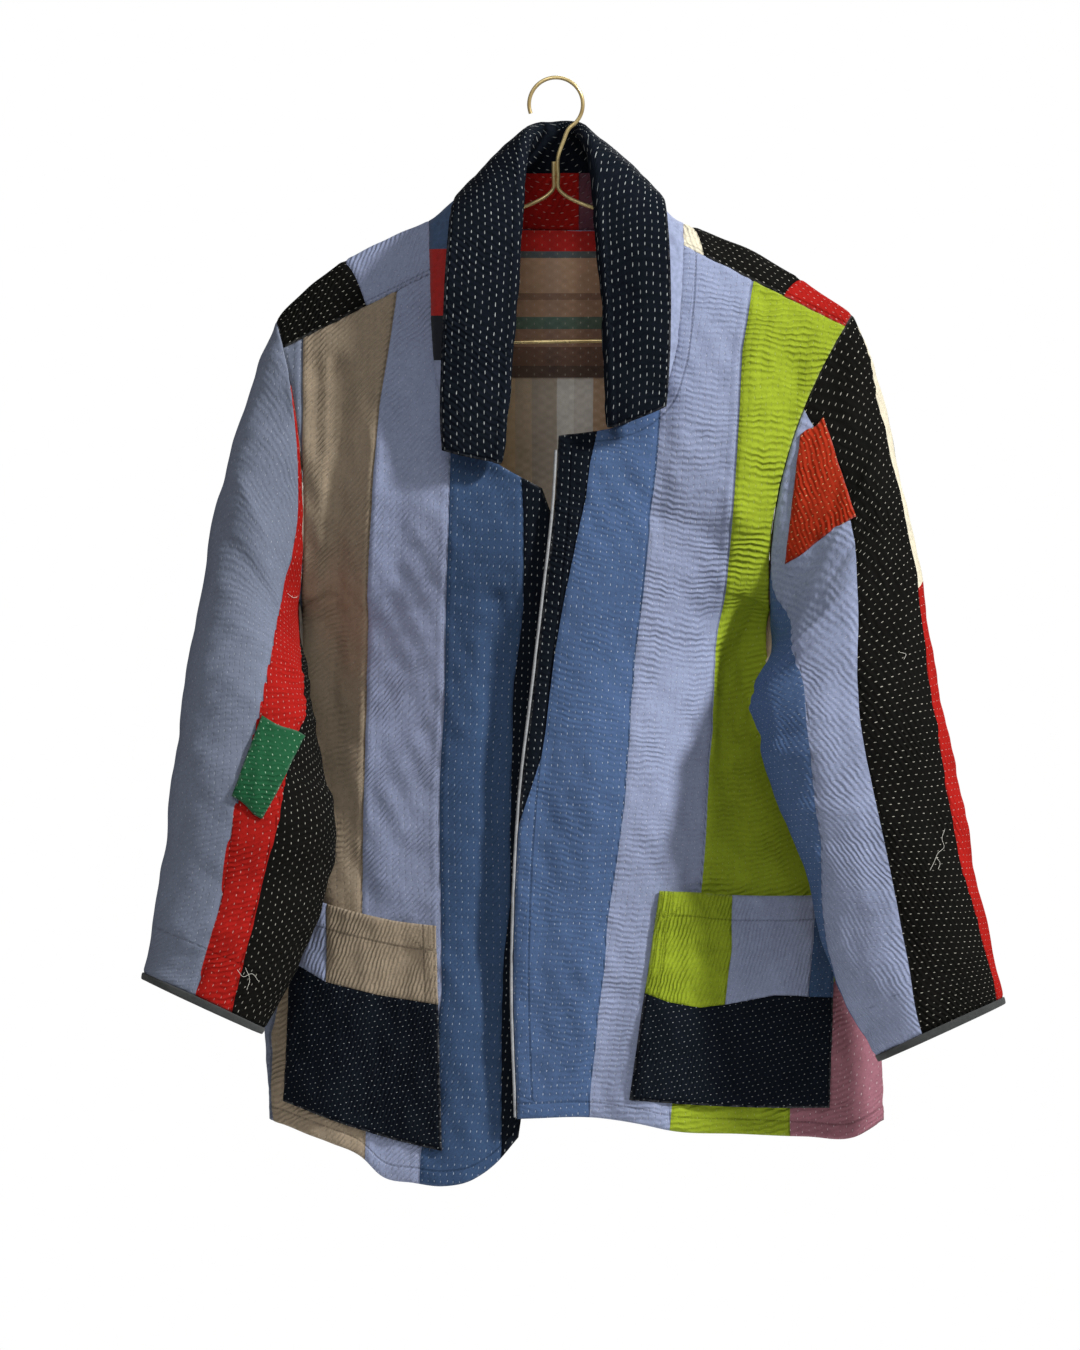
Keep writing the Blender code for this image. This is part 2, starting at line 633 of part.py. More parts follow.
def build_sleeve_patch(side, name, corners, gap, colour):
    """A patch sewn on the sleeve, made from the sleeve's own points, moved out."""
    columns, rows = PATCH_GRID
    grid = between(corners, rows, columns)
    s, turn = side.tube_share(grid[..., 0], grid[..., 1])
    on_sleeve = side.tube(s, turn)
    ring = side.ring(s)
    centre = np.stack([(ring[..., 0] + ring[..., 2]) / 2, ring[..., 4], (ring[..., 1] + ring[..., 3]) / 2], -1)
    spoke = unit(on_sleeve - centre)
    base = on_sleeve + spoke * (sleeve_folds(side, s, turn)[..., None] + gap + CHANNEL_RISE)
    return paint(wall(name, base + spoke * APPLIQUE, base), name + "_cloth", colour)


# How far down the neckline the collar is sewn, as a share of the front's height
NECK_END = 0.215

# The collar, from its right front end over the back of the neck to its left front end.
# Each row is: share of its length, fold x, y, z, and free edge x, y, z.
COLLAR_ROLL = 0.0042
COLLAR_LINES = [
    (0.000, -0.0470, -0.0660, -0.3070, -0.0910, -0.0780, -0.2990),
    (0.060, -0.0450, -0.0700, -0.2850, -0.0925, -0.0810, -0.2750),
    (0.130, -0.0405, -0.0720, -0.2450, -0.0920, -0.0810, -0.2380),
    (0.200, -0.0360, -0.0720, -0.2000, -0.0900, -0.0800, -0.1920),
    (0.250, -0.0325, -0.0660, -0.1520, -0.0880, -0.0750, -0.1500),
    (0.300, -0.0290, -0.0500, -0.1050, -0.0850, -0.0600, -0.1180),
    (0.345, -0.0265, -0.0300, -0.0730, -0.0820, -0.0340, -0.1030),
    (0.390, -0.0225, -0.0070, -0.0530, -0.0770, 0.0040, -0.0950),
    (0.440, -0.0150, 0.0130, -0.0430, -0.0480, 0.0360, -0.0830),
    (0.500, 0.0000, 0.0240, -0.0395, 0.0000, 0.0500, -0.0760),
    (0.560, 0.0150, 0.0130, -0.0425, 0.0480, 0.0360, -0.0820),
    (0.610, 0.0230, -0.0070, -0.0520, 0.0780, 0.0040, -0.0930),
    (0.655, 0.0290, -0.0300, -0.0700, 0.0850, -0.0340, -0.0970),
    (0.700, 0.0330, -0.0500, -0.0980, 0.0880, -0.0600, -0.1090),
    (0.750, 0.0365, -0.0670, -0.1400, 0.0905, -0.0760, -0.1360),
    (0.800, 0.0395, -0.0740, -0.1850, 0.0915, -0.0820, -0.1750),
    (0.870, 0.0425, -0.0760, -0.2300, 0.0910, -0.0850, -0.2180),
    (0.940, 0.0440, -0.0760, -0.2600, 0.0895, -0.0860, -0.2450),
    (1.000, 0.0440, -0.0740, -0.2790, 0.0880, -0.0850, -0.2640),
]


def even_steps(line, count):
    """The line's points, put evenly along it."""
    length = np.concatenate([[0], np.cumsum(np.linalg.norm(np.diff(line, axis=0), axis=1))])
    even = np.linspace(0, length[-1], count + 1)
    return np.stack([np.interp(even, length, line[:, k]) for k in range(3)], -1)


def neckline_points():
    """The neck seam from the right front end round the back to the left, and its shares."""
    on_front, on_yoke, on_back = COLLAR_COLUMNS
    down = np.linspace(NECK_END, 0, 80)
    nape = back(np.linspace(-1, 1, 1200), 0.0)
    parts = [
        (even_steps(RIGHT.inner_line(down), on_front), 0.0, 0.35),
        (even_steps(yoke_points(RIGHT, 16, 8)[:, 0], on_yoke), 0.35, 0.40),
        (even_steps(nape[np.abs(nape[:, 0]) <= NECK_HALF], on_back), 0.40, 0.60),
        (even_steps(yoke_points(LEFT, 16, 8)[::-1, 0], on_yoke), 0.60, 0.65),
        (even_steps(LEFT.inner_line(down[::-1]), on_front), 0.65, 1.0),
    ]
    line = np.concatenate([points[:-1] for points, _, _ in parts] + [parts[-1][0][-1:]])
    shares = [np.linspace(first, last, len(points))[:-1] for points, first, last in parts]
    return line, np.concatenate(shares + [[1.0]])


def collar_points():
    """The underside of the collar: the stand up to the fold, the fold, and the fall."""
    seam, share = neckline_points()
    rows = np.array(COLLAR_LINES)
    lines = through(rows[:, 0], rows[:, 1:])(share)
    fold, edge = lines[:, :3], lines[:, 3:]
    rise = unit(fold - seam)
    seam = seam + rise * COLLAR_GAP
    side = -unit(np.cross(unit(np.gradient(fold, axis=0)), rise))
    centre = fold + side * COLLAR_ROLL
    over = fold + side * 2 * COLLAR_ROLL
    steps = (0, 0.25, 0.5, 0.75, 1)
    stand = [seam + (fold - seam) * t + side * 0.004 * math.sin(math.pi * t) for t in steps]
    turn = [
        centre + COLLAR_ROLL * (-side * math.cos(a) + rise * math.sin(a))
        for a in (math.pi / 4, math.pi / 2, math.pi * 3 / 4)
    ]
    fall = [over + (edge - over) * t + side * 0.003 * math.sin(math.pi * t) for t in steps]
    return np.stack(stand + turn + fall, axis=1), side


def build_collar():
    under, side = collar_points()
    normal = normals_of(under, np.zeros(3))
    if np.sum(normal[:, 0] * side) > 0:
        normal = -normal
    over = under + normal * CLOTH
    over = over + normal * channels(over.shape, CHANNEL_RISE * 0.6)
    return paint(wall("collar", over, under), "collar_cloth", (0.018, 0.024, 0.035))


def tube_along(name, points, diameter, colour, sides=2, roughness=0.85, metallic=0.0):
    """A round bar or piping along a line of points."""
    curve = bpy.data.curves.new(name, "CURVE")
    curve.dimensions = "3D"
    curve.bevel_depth = diameter / 2
    curve.bevel_resolution = sides
    curve.use_fill_caps = True
    spline = curve.splines.new("POLY")
    spline.points.add(len(points) - 1)
    for target, point in zip(spline.points, points):
        target.co = (*point, 1)
    obj = bpy.data.objects.new(name, curve)
    bpy.context.collection.objects.link(obj)
    return paint(obj, name + "_finish", colour, roughness, metallic)


def build_piping():
    """The pale piping on the left front's edge, from its top corner to the hem."""
    v = np.linspace(CORNER + 0.012, 0.998, 30)
    line = LEFT.front(0.0, v)
    line[:, 0] -= PIPING / 2 + SEAM_GAP
    line[:, 1] += CLOTH / 2
    return tube_along("front_edge_piping", line, PIPING, (0.30, 0.31, 0.31), sides=1)


PIPING = 0.0024


def arc(cx, cz, radius, first, last, count):
    """Points on an arc in the hanger's plane, with angles in degrees from +X."""
    angles = np.radians(np.linspace(first, last, count))
    return [(cx + radius * math.cos(a), 0.0, cz + radius * math.sin(a)) for a in angles]


def hanger_line():
    """The wire's middle line: hook tip, hook, stem, left arm, bar, right arm and short end."""
    hook_z = -HOOK_RADIUS + WIRE / 2
    stem_x = WIRE / 2 + STEM_GAP / 2
    hook = arc(0, hook_z, HOOK_RADIUS, 200, -58, 22)
    neck = [(stem_x + 0.004, 0, -0.050), (stem_x, 0, -0.062), (stem_x, 0, -0.078)]
    bend = [(stem_x + 0.0005, 0, YOKE_Z + 0.006), (stem_x + 0.006, 0, YOKE_Z + 0.0005)]
    arm = [(0.016, 0, YOKE_Z - 0.004), (0.030, 0, YOKE_Z - 0.0095)]
    for x in np.linspace(0.06, ARM_END_X - 0.012, 6):
        share = (x - 0.030) / (ARM_END_X - 0.030)
        arm.append((x, 0, YOKE_Z - 0.0095 + (ARM_END_Z - YOKE_Z + 0.0095) * share))
    corner = [
        (ARM_END_X, 0, ARM_END_Z - 0.001),
        (ARM_END_X + 0.0070, 0, ARM_END_Z - 0.0065),
        (HANGER_HALF_WIDTH, 0, ARM_END_Z - 0.0160),
        (HANGER_HALF_WIDTH - 0.0005, 0, BAR_Z + 0.0180),
        (HANGER_HALF_WIDTH - 0.0070, 0, BAR_Z + 0.0060),
        (HANGER_HALF_WIDTH - 0.0190, 0, BAR_Z),
    ]
    bar = [(x, 0, BAR_Z) for x in np.linspace(0.14, 0, 4)]
    half = bend + arm + corner + bar
    other = [(-x, y, z) for x, y, z in reversed(half[:-1])]
    short_end = [(-stem_x, 0, -0.078), (-stem_x, 0, SHORT_END_Z)]
    tilted = []
    for x, y, z in half + other:
        tilted.append((x, y, z + math.tan(HANGER_TILT) * x))
    return hook + neck + tilted + short_end


def build_hanger():
    return tube_along("hanger", hanger_line(), WIRE, (0.62, 0.44, 0.16), roughness=0.3, metallic=1.0)


# Pocket corners in the front view, as x, z: top inner, top outer, bottom inner, bottom outer
POCKET_RIGHT = ((-0.0950, -0.6790), (-0.2100, -0.6530), (-0.0905, -0.8590), (-0.2165, -0.8200))
POCKET_LEFT = ((0.0820, -0.6510), (0.2230, -0.6560), (0.0590, -0.8180), (0.2180, -0.8250))
PATCH_GREEN = ((-0.2000, -0.5270), (-0.2350, -0.5110), (-0.2350, -0.5930), (-0.2575, -0.5740))
PATCH_ORANGE = ((0.1960, -0.2880), (0.2140, -0.2750), (0.1840, -0.3880), (0.2390, -0.3520))


def main():
    for obj in list(bpy.data.objects):
        bpy.data.objects.remove(obj)
    build_hanger()
    build_front(RIGHT, "front_right", (0.11, 0.19, 0.33))
    build_front(LEFT, "front_left", (0.13, 0.22, 0.36))
    build_back()
    build_yoke(RIGHT, "yoke_right", (0.02, 0.02, 0.02))
    build_yoke(LEFT, "yoke_left", (0.02, 0.02, 0.02))
    build_sleeve(RIGHT, "sleeve_right", (0.19, 0.24, 0.34))
    build_sleeve(LEFT, "sleeve_left", (0.015, 0.015, 0.015))
    build_cuff(RIGHT, "cuff_right")
    build_cuff(LEFT, "cuff_left")
    build_pocket(RIGHT, "pocket_right", POCKET_RIGHT, 0.004, (0.012, 0.017, 0.024))
    build_pocket(LEFT, "pocket_left", POCKET_LEFT, 0.002, (0.012, 0.017, 0.024))
    build_sleeve_patch(RIGHT, "patch_green", PATCH_GREEN, GREEN_PATCH_GAP, (0.015, 0.20, 0.07))
    build_sleeve_patch(LEFT, "patch_orange", PATCH_ORANGE, ORANGE_PATCH_GAP, (0.55, 0.06, 0.02))
    build_collar()
    build_piping()


main()
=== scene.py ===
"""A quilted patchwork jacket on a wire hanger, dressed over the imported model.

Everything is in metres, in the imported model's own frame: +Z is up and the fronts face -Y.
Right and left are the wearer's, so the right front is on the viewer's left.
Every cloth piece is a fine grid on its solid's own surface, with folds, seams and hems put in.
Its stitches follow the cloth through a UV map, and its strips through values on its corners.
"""

import math

import bmesh
import bpy
import numpy as np
from bpy.props import FloatProperty, FloatVectorProperty, IntProperty, PointerProperty
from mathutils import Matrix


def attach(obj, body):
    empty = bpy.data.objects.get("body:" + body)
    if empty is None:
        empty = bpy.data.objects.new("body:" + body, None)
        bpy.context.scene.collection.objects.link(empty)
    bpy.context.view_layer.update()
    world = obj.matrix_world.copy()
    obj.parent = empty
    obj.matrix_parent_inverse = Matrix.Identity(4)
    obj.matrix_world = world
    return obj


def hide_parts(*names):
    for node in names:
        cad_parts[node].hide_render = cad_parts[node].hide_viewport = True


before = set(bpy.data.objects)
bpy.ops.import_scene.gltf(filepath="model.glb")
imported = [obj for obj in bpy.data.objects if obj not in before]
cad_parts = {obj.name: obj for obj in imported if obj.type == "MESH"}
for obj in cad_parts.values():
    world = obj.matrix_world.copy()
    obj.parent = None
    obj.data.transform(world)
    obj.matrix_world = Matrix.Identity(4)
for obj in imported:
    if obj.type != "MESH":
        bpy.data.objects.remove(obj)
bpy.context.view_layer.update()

bl_info = {
    "name": "Quilted Patchwork Jacket",
    "version": (1, 0, 0),
    "blender": (4, 5, 0),
    "location": "View3D > Sidebar > Jacket",
    "description": "Makes the cloth, stitches, lining and hanger of a quilted patchwork jacket",
    "category": "Add Mesh",
}

# The photograph's scale, the pixel that lies on the frame's origin, and the middle of the view
PIXEL = 0.0008
ORIGIN_PIXEL = (556, 77)
MIDDLE_PIXEL = (540, 675)
# The camera's distance and its focal length in mm, which give that scale on a 36 mm high sensor
CAMERA_AWAY = 12.05
LENS = 400.0

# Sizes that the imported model's solids have
CLOTH = 0.0025
APPLIQUE = 0.0012
POCKET_GAP = 0.0010
GREEN_PATCH_GAP = 0.0015
ORANGE_PATCH_GAP = 0.0009
CHANNEL_RISE = 0.0008
COLLAR_GAP = -0.0015
BINDING = 0.0034
WIRE = 0.0032
HOOK_RADIUS = 0.0216
STEM_GAP = 0.0004
YOKE_Z = -0.094
SHORT_END_Z = -0.066
ARM_END_X = 0.190
ARM_END_Z = -0.16478
HANGER_HALF_WIDTH = 0.201
BAR_Z = -0.2105
HANGER_TILT = math.radians(0.834)
CORNER = 0.28
UNDERARM = 0.36
SEAM_TURN_BACK = -0.054
NECK_END = 0.215


def in_mm(rows, shares=0):
    """Rows of sizes in mm as metres. The first columns may be shares, which stay as they are."""
    rows = np.array(rows, float)
    rows[:, shares:] /= 1000
    return rows


def through(knots, values):
    """A smooth curve through the values, one value or point for each knot."""
    knots = np.asarray(knots, float)
    values = np.asarray(values, float).reshape(len(knots), -1)
    slopes = np.gradient(values, knots, axis=0)

    def at(t):
        t = np.clip(np.asarray(t, float), knots[0], knots[-1])
        i = np.clip(np.searchsorted(knots, t, side="right") - 1, 0, len(knots) - 2)
        span = (knots[i + 1] - knots[i])[..., None]
        s = (t - knots[i])[..., None] / span
        near, far = values[i], values[i + 1]
        leave, arrive = slopes[i] * span, slopes[i + 1] * span
        return (
            near * (1 + 2 * s) * (1 - s) ** 2
            + leave * s * (1 - s) ** 2
            + far * s**2 * (3 - 2 * s)
            + arrive * s**2 * (s - 1)
        )

    return at


def ease(t):
    """0 below 0, 1 above 1 and smooth between them."""
    t = np.clip(t, 0, 1)
    return t * t * (3 - 2 * t)


def unit(vectors):
    return vectors / np.maximum(np.linalg.norm(vectors, axis=-1, keepdims=True), 1e-12)


def folds_at(x, z, folds):
    """How far the folds lift the cloth at x, z. Each is (x, z, x, z, half width, lift)."""
    lift = np.zeros(np.broadcast(x, z).shape)
    for x0, z0, x1, z1, half, rise in folds:
        run = np.array([x1 - x0, z1 - z0])
        along = ((x - x0) * run[0] + (z - z0) * run[1]) / (run @ run)
        across = np.hypot(
            x - x0 - np.clip(along, 0, 1) * run[0], z - z0 - np.clip(along, 0, 1) * run[1]
        )
        lift = lift + rise * np.exp(-((across / half) ** 2))
    return lift


class Side:
    """One half of the jacket: its sleeve, its front and the seams that they share."""

    def __init__(self, sign, sleeve, neckline, edge, seam, hem, folds, bulge, bow, seam_turn):
        self.sign = sign
        self.bow = bow
        self.seam_turn = seam_turn
        tables = (in_mm(rows, shares=1) for rows in (sleeve, neckline, edge, seam, hem))
        lines = (through(table[:, 0], table[:, 1:]) for table in tables)
        self.ring, self.neckline, self.edge, self.seam, self.hem = lines
        self.folds = in_mm(folds)
        self.bulge = bulge

    def tube(self, s, turn):
        """The sleeve's outer face. s is 0 at the armhole and 1 at the cuff.
        turn is 0 on the shoulder side, a quarter at the front and a half under the arm."""
        s, turn = np.broadcast_arrays(np.asarray(s, float), np.asarray(turn, float))
        ox, oz, ix, iz, yc, half = np.moveaxis(self.ring(s), -1, 0)
        angle = 2 * math.pi * turn
        c, q = np.cos(angle), np.sin(angle)
        x = (ox + ix) / 2 + (ox - ix) / 2 * c - self.sign * self.bow_at(s, q)
        z = (oz + iz) / 2 + (oz - iz) / 2 * c
        return np.stack([x, yc - half * q, z], -1)

    def bow_at(self, s, q):
        """How far the armhole bends towards the body at its front and back."""
        return self.bow * np.exp(-((s / 0.14) ** 2)) * q**2

    def inner_line(self, v):
        """The neckline down to the front corner, and then the front edge."""
        v = np.asarray(v, float)
        return np.where((v < CORNER)[..., None], self.neckline(v), self.edge(v))

    def outer_line(self, v, turn_at_top):
        """The armhole down to the underarm, and then the side seam."""
        v = np.asarray(v, float)
        share = np.clip(v / UNDERARM, 0, 1)
        half_turn = math.copysign(0.5, turn_at_top)
        around = self.tube(0.0, turn_at_top + (half_turn - turn_at_top) * share)
        return np.where((v < UNDERARM)[..., None], around, self.seam(v))

    def front(self, across, v):
        """The front's outer face. across is 0 at the front edge and 1 at the side seam."""
        across, v = np.broadcast_arrays(np.asarray(across, float), np.asarray(v, float))
        near, far = self.inner_line(v), self.outer_line(v, self.seam_turn)
        power, root = np.moveaxis(FRONT_SECTION(v), -1, 0)
        rounded = (1 - np.clip(across, 0, 1) ** power) ** (1 / root)
        x = near[..., 0] + (far[..., 0] - near[..., 0]) * across
        z = near[..., 2] + (far[..., 2] - near[..., 2]) * across
        z = z + self.hem(across)[..., 0] * ease((v - 0.5) / 0.5)
        y = far[..., 1] + (near[..., 1] - far[..., 1]) * rounded
        full = self.bulge * np.sin(math.pi * across) * np.sin(math.pi * np.clip(v / 0.5, 0, 1))
        faded = ease(v / 0.06) * ease((1 - across) / 0.06)
        y = y - full - folds_at(x, z, self.folds) * faded
        return np.stack([x, y, z], -1)

    def front_share(self, x, z):
        """Where on the front the point x, z of the front view lies, as (across, v)."""
        low, high = np.zeros(np.shape(x)), np.ones(np.shape(x))
        for _ in range(40):
            v = (low + high) / 2
            near, far = self.inner_line(v), self.outer_line(v, self.seam_turn)
            across = np.clip((x - near[..., 0]) / (far[..., 0] - near[..., 0]), 0, 1)
            row_z = near[..., 2] + (far[..., 2] - near[..., 2]) * across
            row_z = row_z + self.hem(across)[..., 0] * ease((v - 0.5) / 0.5)
            below = row_z > z
            low, high = np.where(below, v, low), np.where(below, high, v)
        return across, v

    def tube_share(self, x, z):
        """Where on the front half of the sleeve the point x, z lies, as (s, turn)."""
        straight = np.array(x, float)
        for _ in range(8):
            low, high = np.zeros(np.shape(x)), np.ones(np.shape(x))
            for _ in range(30):
                s = (low + high) / 2
                ox, oz, ix, iz = np.moveaxis(self.ring(s)[..., :4], -1, 0)
                beyond = self.sign * ((ox - ix) * (z - iz) - (oz - iz) * (straight - ix)) < 0
                low, high = np.where(beyond, s, low), np.where(beyond, high, s)
            along = (straight - ix) * (ox - ix) + (z - iz) * (oz - iz)
            share = along / ((ox - ix) ** 2 + (oz - iz) ** 2)
            turn = np.arccos(np.clip(2 * share - 1, -1, 1)) / (2 * math.pi)
            straight = x + self.sign * self.bow_at(s, np.sin(2 * math.pi * turn))
        return s, turn


# How round a front is across, as two exponents for each row: flat at the armhole, full at the hem
FRONT_SECTION = through(
    [0.0, 0.2, 0.36, 0.5, 0.64, 0.8, 1.0],
    [(2, 1), (2, 1), (2, 1.1), (2, 1.3), (2.1, 2), (2.4, 2.3), (2.6, 2.6)],
)

# The sleeve's rings: share of its length, outer x and z, inner x and z, middle y, half depth.
# The neckline, the front edge and the side seam: row, x, y, z.
# The hem: share across, and how far it drops below a straight line.
# The folds: from x, z to x, z, half width, lift. All but the shares and rows are in mm.
RIGHT = Side(
    sign=-1,
    sleeve=[
        (0, -225, -194, -207, -420, 0, 36), (0.08, -240, -233, -206.8, -434, -5, 38),
        (0.16, -253, -273, -205.8, -447, -11, 40), (0.24, -264, -313, -203, -459, -18, 42),
        (0.32, -274.5, -356, -200, -471, -22, 43), (0.4, -283, -402, -197, -485, -32, 43),
        (0.48, -291, -450, -193.5, -508, -42, 43), (0.56, -298.5, -500, -187, -537, -52, 43),
        (0.64, -305, -550, -179.5, -574, -62, 43), (0.72, -311, -602, -176.5, -614, -66, 42),
        (0.8, -318, -650, -185, -658, -70, 41), (0.88, -324, -685, -201, -697, -74, 38),
        (0.95, -328.5, -707, -218, -735, -77, 34), (1, -330.5, -721, -235, -765, -79, 30),
    ],
    neckline=[
        (0, -100, -26, -156), (0.07, -98.5, -40, -200), (0.14, -92.5, -50, -250),
        (0.195, -77, -56, -283), (0.24, -48, -59, -308.5), (0.28, -11, -60, -329),
    ],
    edge=[
        (0.28, -11, -60, -329), (0.33, -1, -59, -360), (0.42, 5, -56, -430), (0.6, 0, -53, -565),
        (0.8, -10, -53, -705), (1, -30, -58, -848),
    ],
    seam=[
        (0.36, -207, 0, -420), (0.38, -204.8, 11, -435), (0.42, -204.5, 17, -460),
        (0.54, -208.8, 18, -535), (0.7, -217, 18, -640), (0.88, -234, 12, -760), (1, -230, 10, -835),
    ],
    hem=[
        (0, 0), (0.09, -22), (0.18, -36), (0.3, -43), (0.42, -42), (0.55, -38), (0.63, -24),
        (0.75, -15), (0.9, -6), (1, 0),
    ],
    folds=[
        (-168, -240, -178, -520, 13, -8), (-146, -300, -158, -560, 16, 4),
        (-193, -225, -190, -300, 7, -3), (-48, -420, -46, -780, 12, -4), (-78, -500, -80, -880, 22, 5),
        (-150, -840, -125, -700, 20, -4),
    ],
    bulge=0.006,
    bow=0.012,
    seam_turn=0.101,
)
LEFT = Side(
    sign=1,
    sleeve=[
        (0, 238, -189, 172, -428, 0, 36), (0.08, 252, -222, 174.5, -443, -1, 40),
        (0.16, 262, -256, 174, -456, -4, 43), (0.24, 270.5, -292, 170, -467, -15, 44),
        (0.32, 278, -328, 164.5, -476, -27, 44), (0.4, 285, -366, 159, -485, -41, 43),
        (0.48, 292.5, -408, 156, -497, -55, 43), (0.55, 300, -454, 156, -514, -69, 42),
        (0.62, 309, -503, 162, -535, -84, 42), (0.7, 319, -554, 176, -573, -88, 41),
        (0.78, 329, -606, 190, -614, -97, 40), (0.86, 338.5, -655, 204, -657, -103, 38),
        (0.92, 347, -696, 217, -702, -107, 35), (0.97, 354, -723, 237, -751, -110, 32),
        (1, 357.5, -740, 257, -786, -111, 29),
    ],
    neckline=[
        (0, 101.5, -24, -133), (0.07, 99, -40, -180), (0.14, 93, -51, -228), (0.195, 79, -58, -260),
        (0.24, 47, -63, -280), (0.28, 2, -66, -287),
    ],
    edge=[
        (0.28, 2, -66, -287), (0.33, -0.5, -67, -335), (0.42, -9.5, -68, -418), (0.5, -18, -69, -490),
        (0.6, -27, -69, -565), (0.8, -34, -68, -710), (1, -31, -69, -833),
    ],
    seam=[
        (0.36, 172, 0, -428), (0.38, 170, 11, -442), (0.42, 171, 17, -466), (0.54, 186, 20, -540),
        (0.7, 224, 18, -642), (0.88, 260, 12, -760), (1, 264, 10, -830),
    ],
    hem=[
        (0, 0), (0.22, 0), (0.33, -5), (0.42, -11), (0.6, -14), (0.78, -17), (0.92, -18), (1, -6),
    ],
    folds=[
        (168, -190, 148, -350, 16, 6), (148, -350, 136, -520, 16, 5), (86, -260, 80, -350, 10, -4),
        (30, -420, 10, -700, 30, 4), (100, -520, 110, -640, 18, -4), (70, -840, 95, -760, 18, 4),
        (30, -830, 50, -740, 16, -5),
    ],
    bulge=0.005,
    bow=0.021,
    seam_turn=0.064,
)

# The ridge that the shoulders and the back neck make: x, z
RIDGE = through(
    [-0.225, -0.207, -0.19, -0.165, -0.135, -0.101, 0.101, 0.13, 0.163, 0.19, 0.215, 0.238],
    [-0.194, -0.1765, -0.1625, -0.146, -0.131, -0.116, -0.116, -0.1265, -0.1415, -0.1575, -0.1725, -0.189],
)
NECK_HALF = 0.101
NECK_DIP = 0.015
NECK_DEPTH = 0.028
RIDGE_BACK = 0.012
RIDGE_DROP = 0.006
BACK_DEPTH = through([0.0, 0.15, 0.4, 0.7, 1.0], [0.016, 0.034, 0.047, 0.050, 0.046])
BACK_HEM = through([-1, -0.6, -0.2, 0.15, 0.5, 0.8, 1], [0.0, -0.006, 0.002, -0.004, -0.008, -0.002, 0.0])
# As x, z, x, z, half width and lift, in mm
BACK_FOLDS = in_mm(
    [
        (-120, -260, -150, -700, 22, 7), (-60, -300, -70, -840, 26, -6), (30, -420, 45, -840, 24, 6),
        (120, -260, 150, -760, 24, -7), (190, -560, 200, -840, 18, 5),
    ]
)


def back(across, v):
    """The back's outer face. across runs from -1 at the right side seam to 1 at the left."""
    across, v = np.broadcast_arrays(np.asarray(across, float), np.asarray(v, float))
    right, left = RIGHT.outer_line(v, SEAM_TURN_BACK), LEFT.outer_line(v, SEAM_TURN_BACK)
    share = (1 + across) / 2
    line = right + (left - right) * share[..., None]
    x, z = line[..., 0], line[..., 2]
    neck = np.clip(1 - (x / NECK_HALF) ** 2, 0, 1)
    ridge_z = RIDGE(x)[..., 0] - RIDGE_DROP - NECK_DIP * neck
    rows_up = np.clip(1 - v / 0.45, 0, 1) ** 2
    chord_z = right[..., 2] + (left[..., 2] - right[..., 2]) * share
    armhole = ease(v / 0.04) * (1 - ease((v - 0.30) / 0.06))
    raised = 1 - np.abs(across) ** 3 * armhole
    x = x - 0.0016 * across**5 * armhole
    z = z + (ridge_z - chord_z) * rows_up * raised + BACK_HEM(across)[..., 0] * ease((v - 0.5) / 0.5)
    power = 2.4
    rounded = (1 - np.abs(across) ** power) ** (1 / power)
    section = line[..., 1] + (BACK_DEPTH(v)[..., 0] - line[..., 1]) * rounded
    top = RIDGE_BACK + NECK_DEPTH * neck
    settled = ease(v / 0.2)
    settled = settled + (1 - settled) * np.abs(across) ** 8 * ease(v / 0.05)
    faded = ease(v / 0.1) * ease((1 - np.abs(across)) / 0.08)
    y = top + (section - top) * settled + folds_at(x, z, BACK_FOLDS) * faded
    y = np.where(np.abs(across) > 1 - 1e-9, line[..., 1], y)
    return np.stack([x, y, z], -1)


def normals_of(points, outwards):
    """The unit normal at each grid point, on the side that the vector outwards points to."""
    down, across = np.gradient(points, axis=0), np.gradient(points, axis=1)
    normal = unit(np.cross(across, down))
    if np.sum(normal * outwards) < 0:
        normal = -normal
    return normal


def yoke_points(side, rows, columns):
    """The strip over the shoulder, from the front's top seam over the ridge to the back's."""
    u = np.linspace(0, 1, columns + 1)
    front_seam = side.front(u, 0.0)
    tip_x = side.tube(0.0, 0.0)[0]
    ridge_x = side.sign * NECK_HALF + (tip_x - side.sign * NECK_HALF) * u
    ridge = np.stack([ridge_x, np.zeros_like(u) - 0.001, RIDGE(ridge_x)[:, 0]], -1)
    back_x = side.sign * NECK_HALF + (side.tube(0.0, SEAM_TURN_BACK)[0] - side.sign * NECK_HALF) * u
    top = back(np.linspace(-1, 1, 1200), 0.0)
    back_seam = np.stack([back_x] + [np.interp(back_x, top[:, 0], top[:, k]) for k in (1, 2)], -1)
    q = np.linspace(0, 1, rows + 1)[:, None, None]
    strip = front_seam * (1 - q) * (1 - 2 * q) + ridge * 4 * q * (1 - q) + back_seam * q * (2 * q - 1)
    armhole = side.tube(0.0, side.seam_turn + (SEAM_TURN_BACK - side.seam_turn) * q[:, 0, 0])
    strip[1:-1] += (armhole - strip[:, -1])[1:-1, None] * u[:, None] ** 4
    return strip


SLEEVE_FOLDS = [
    (0.46, 0.38, 0.055, 0.14, 0.0035), (0.57, 0.42, 0.05, 0.14, -0.004),
    (0.68, 0.36, 0.055, 0.12, 0.003), (0.8, 0.34, 0.055, 0.12, -0.002), (0.56, 0.7, 0.06, 0.14, -0.004),
    (0.68, 0.66, 0.06, 0.14, 0.0035),
]


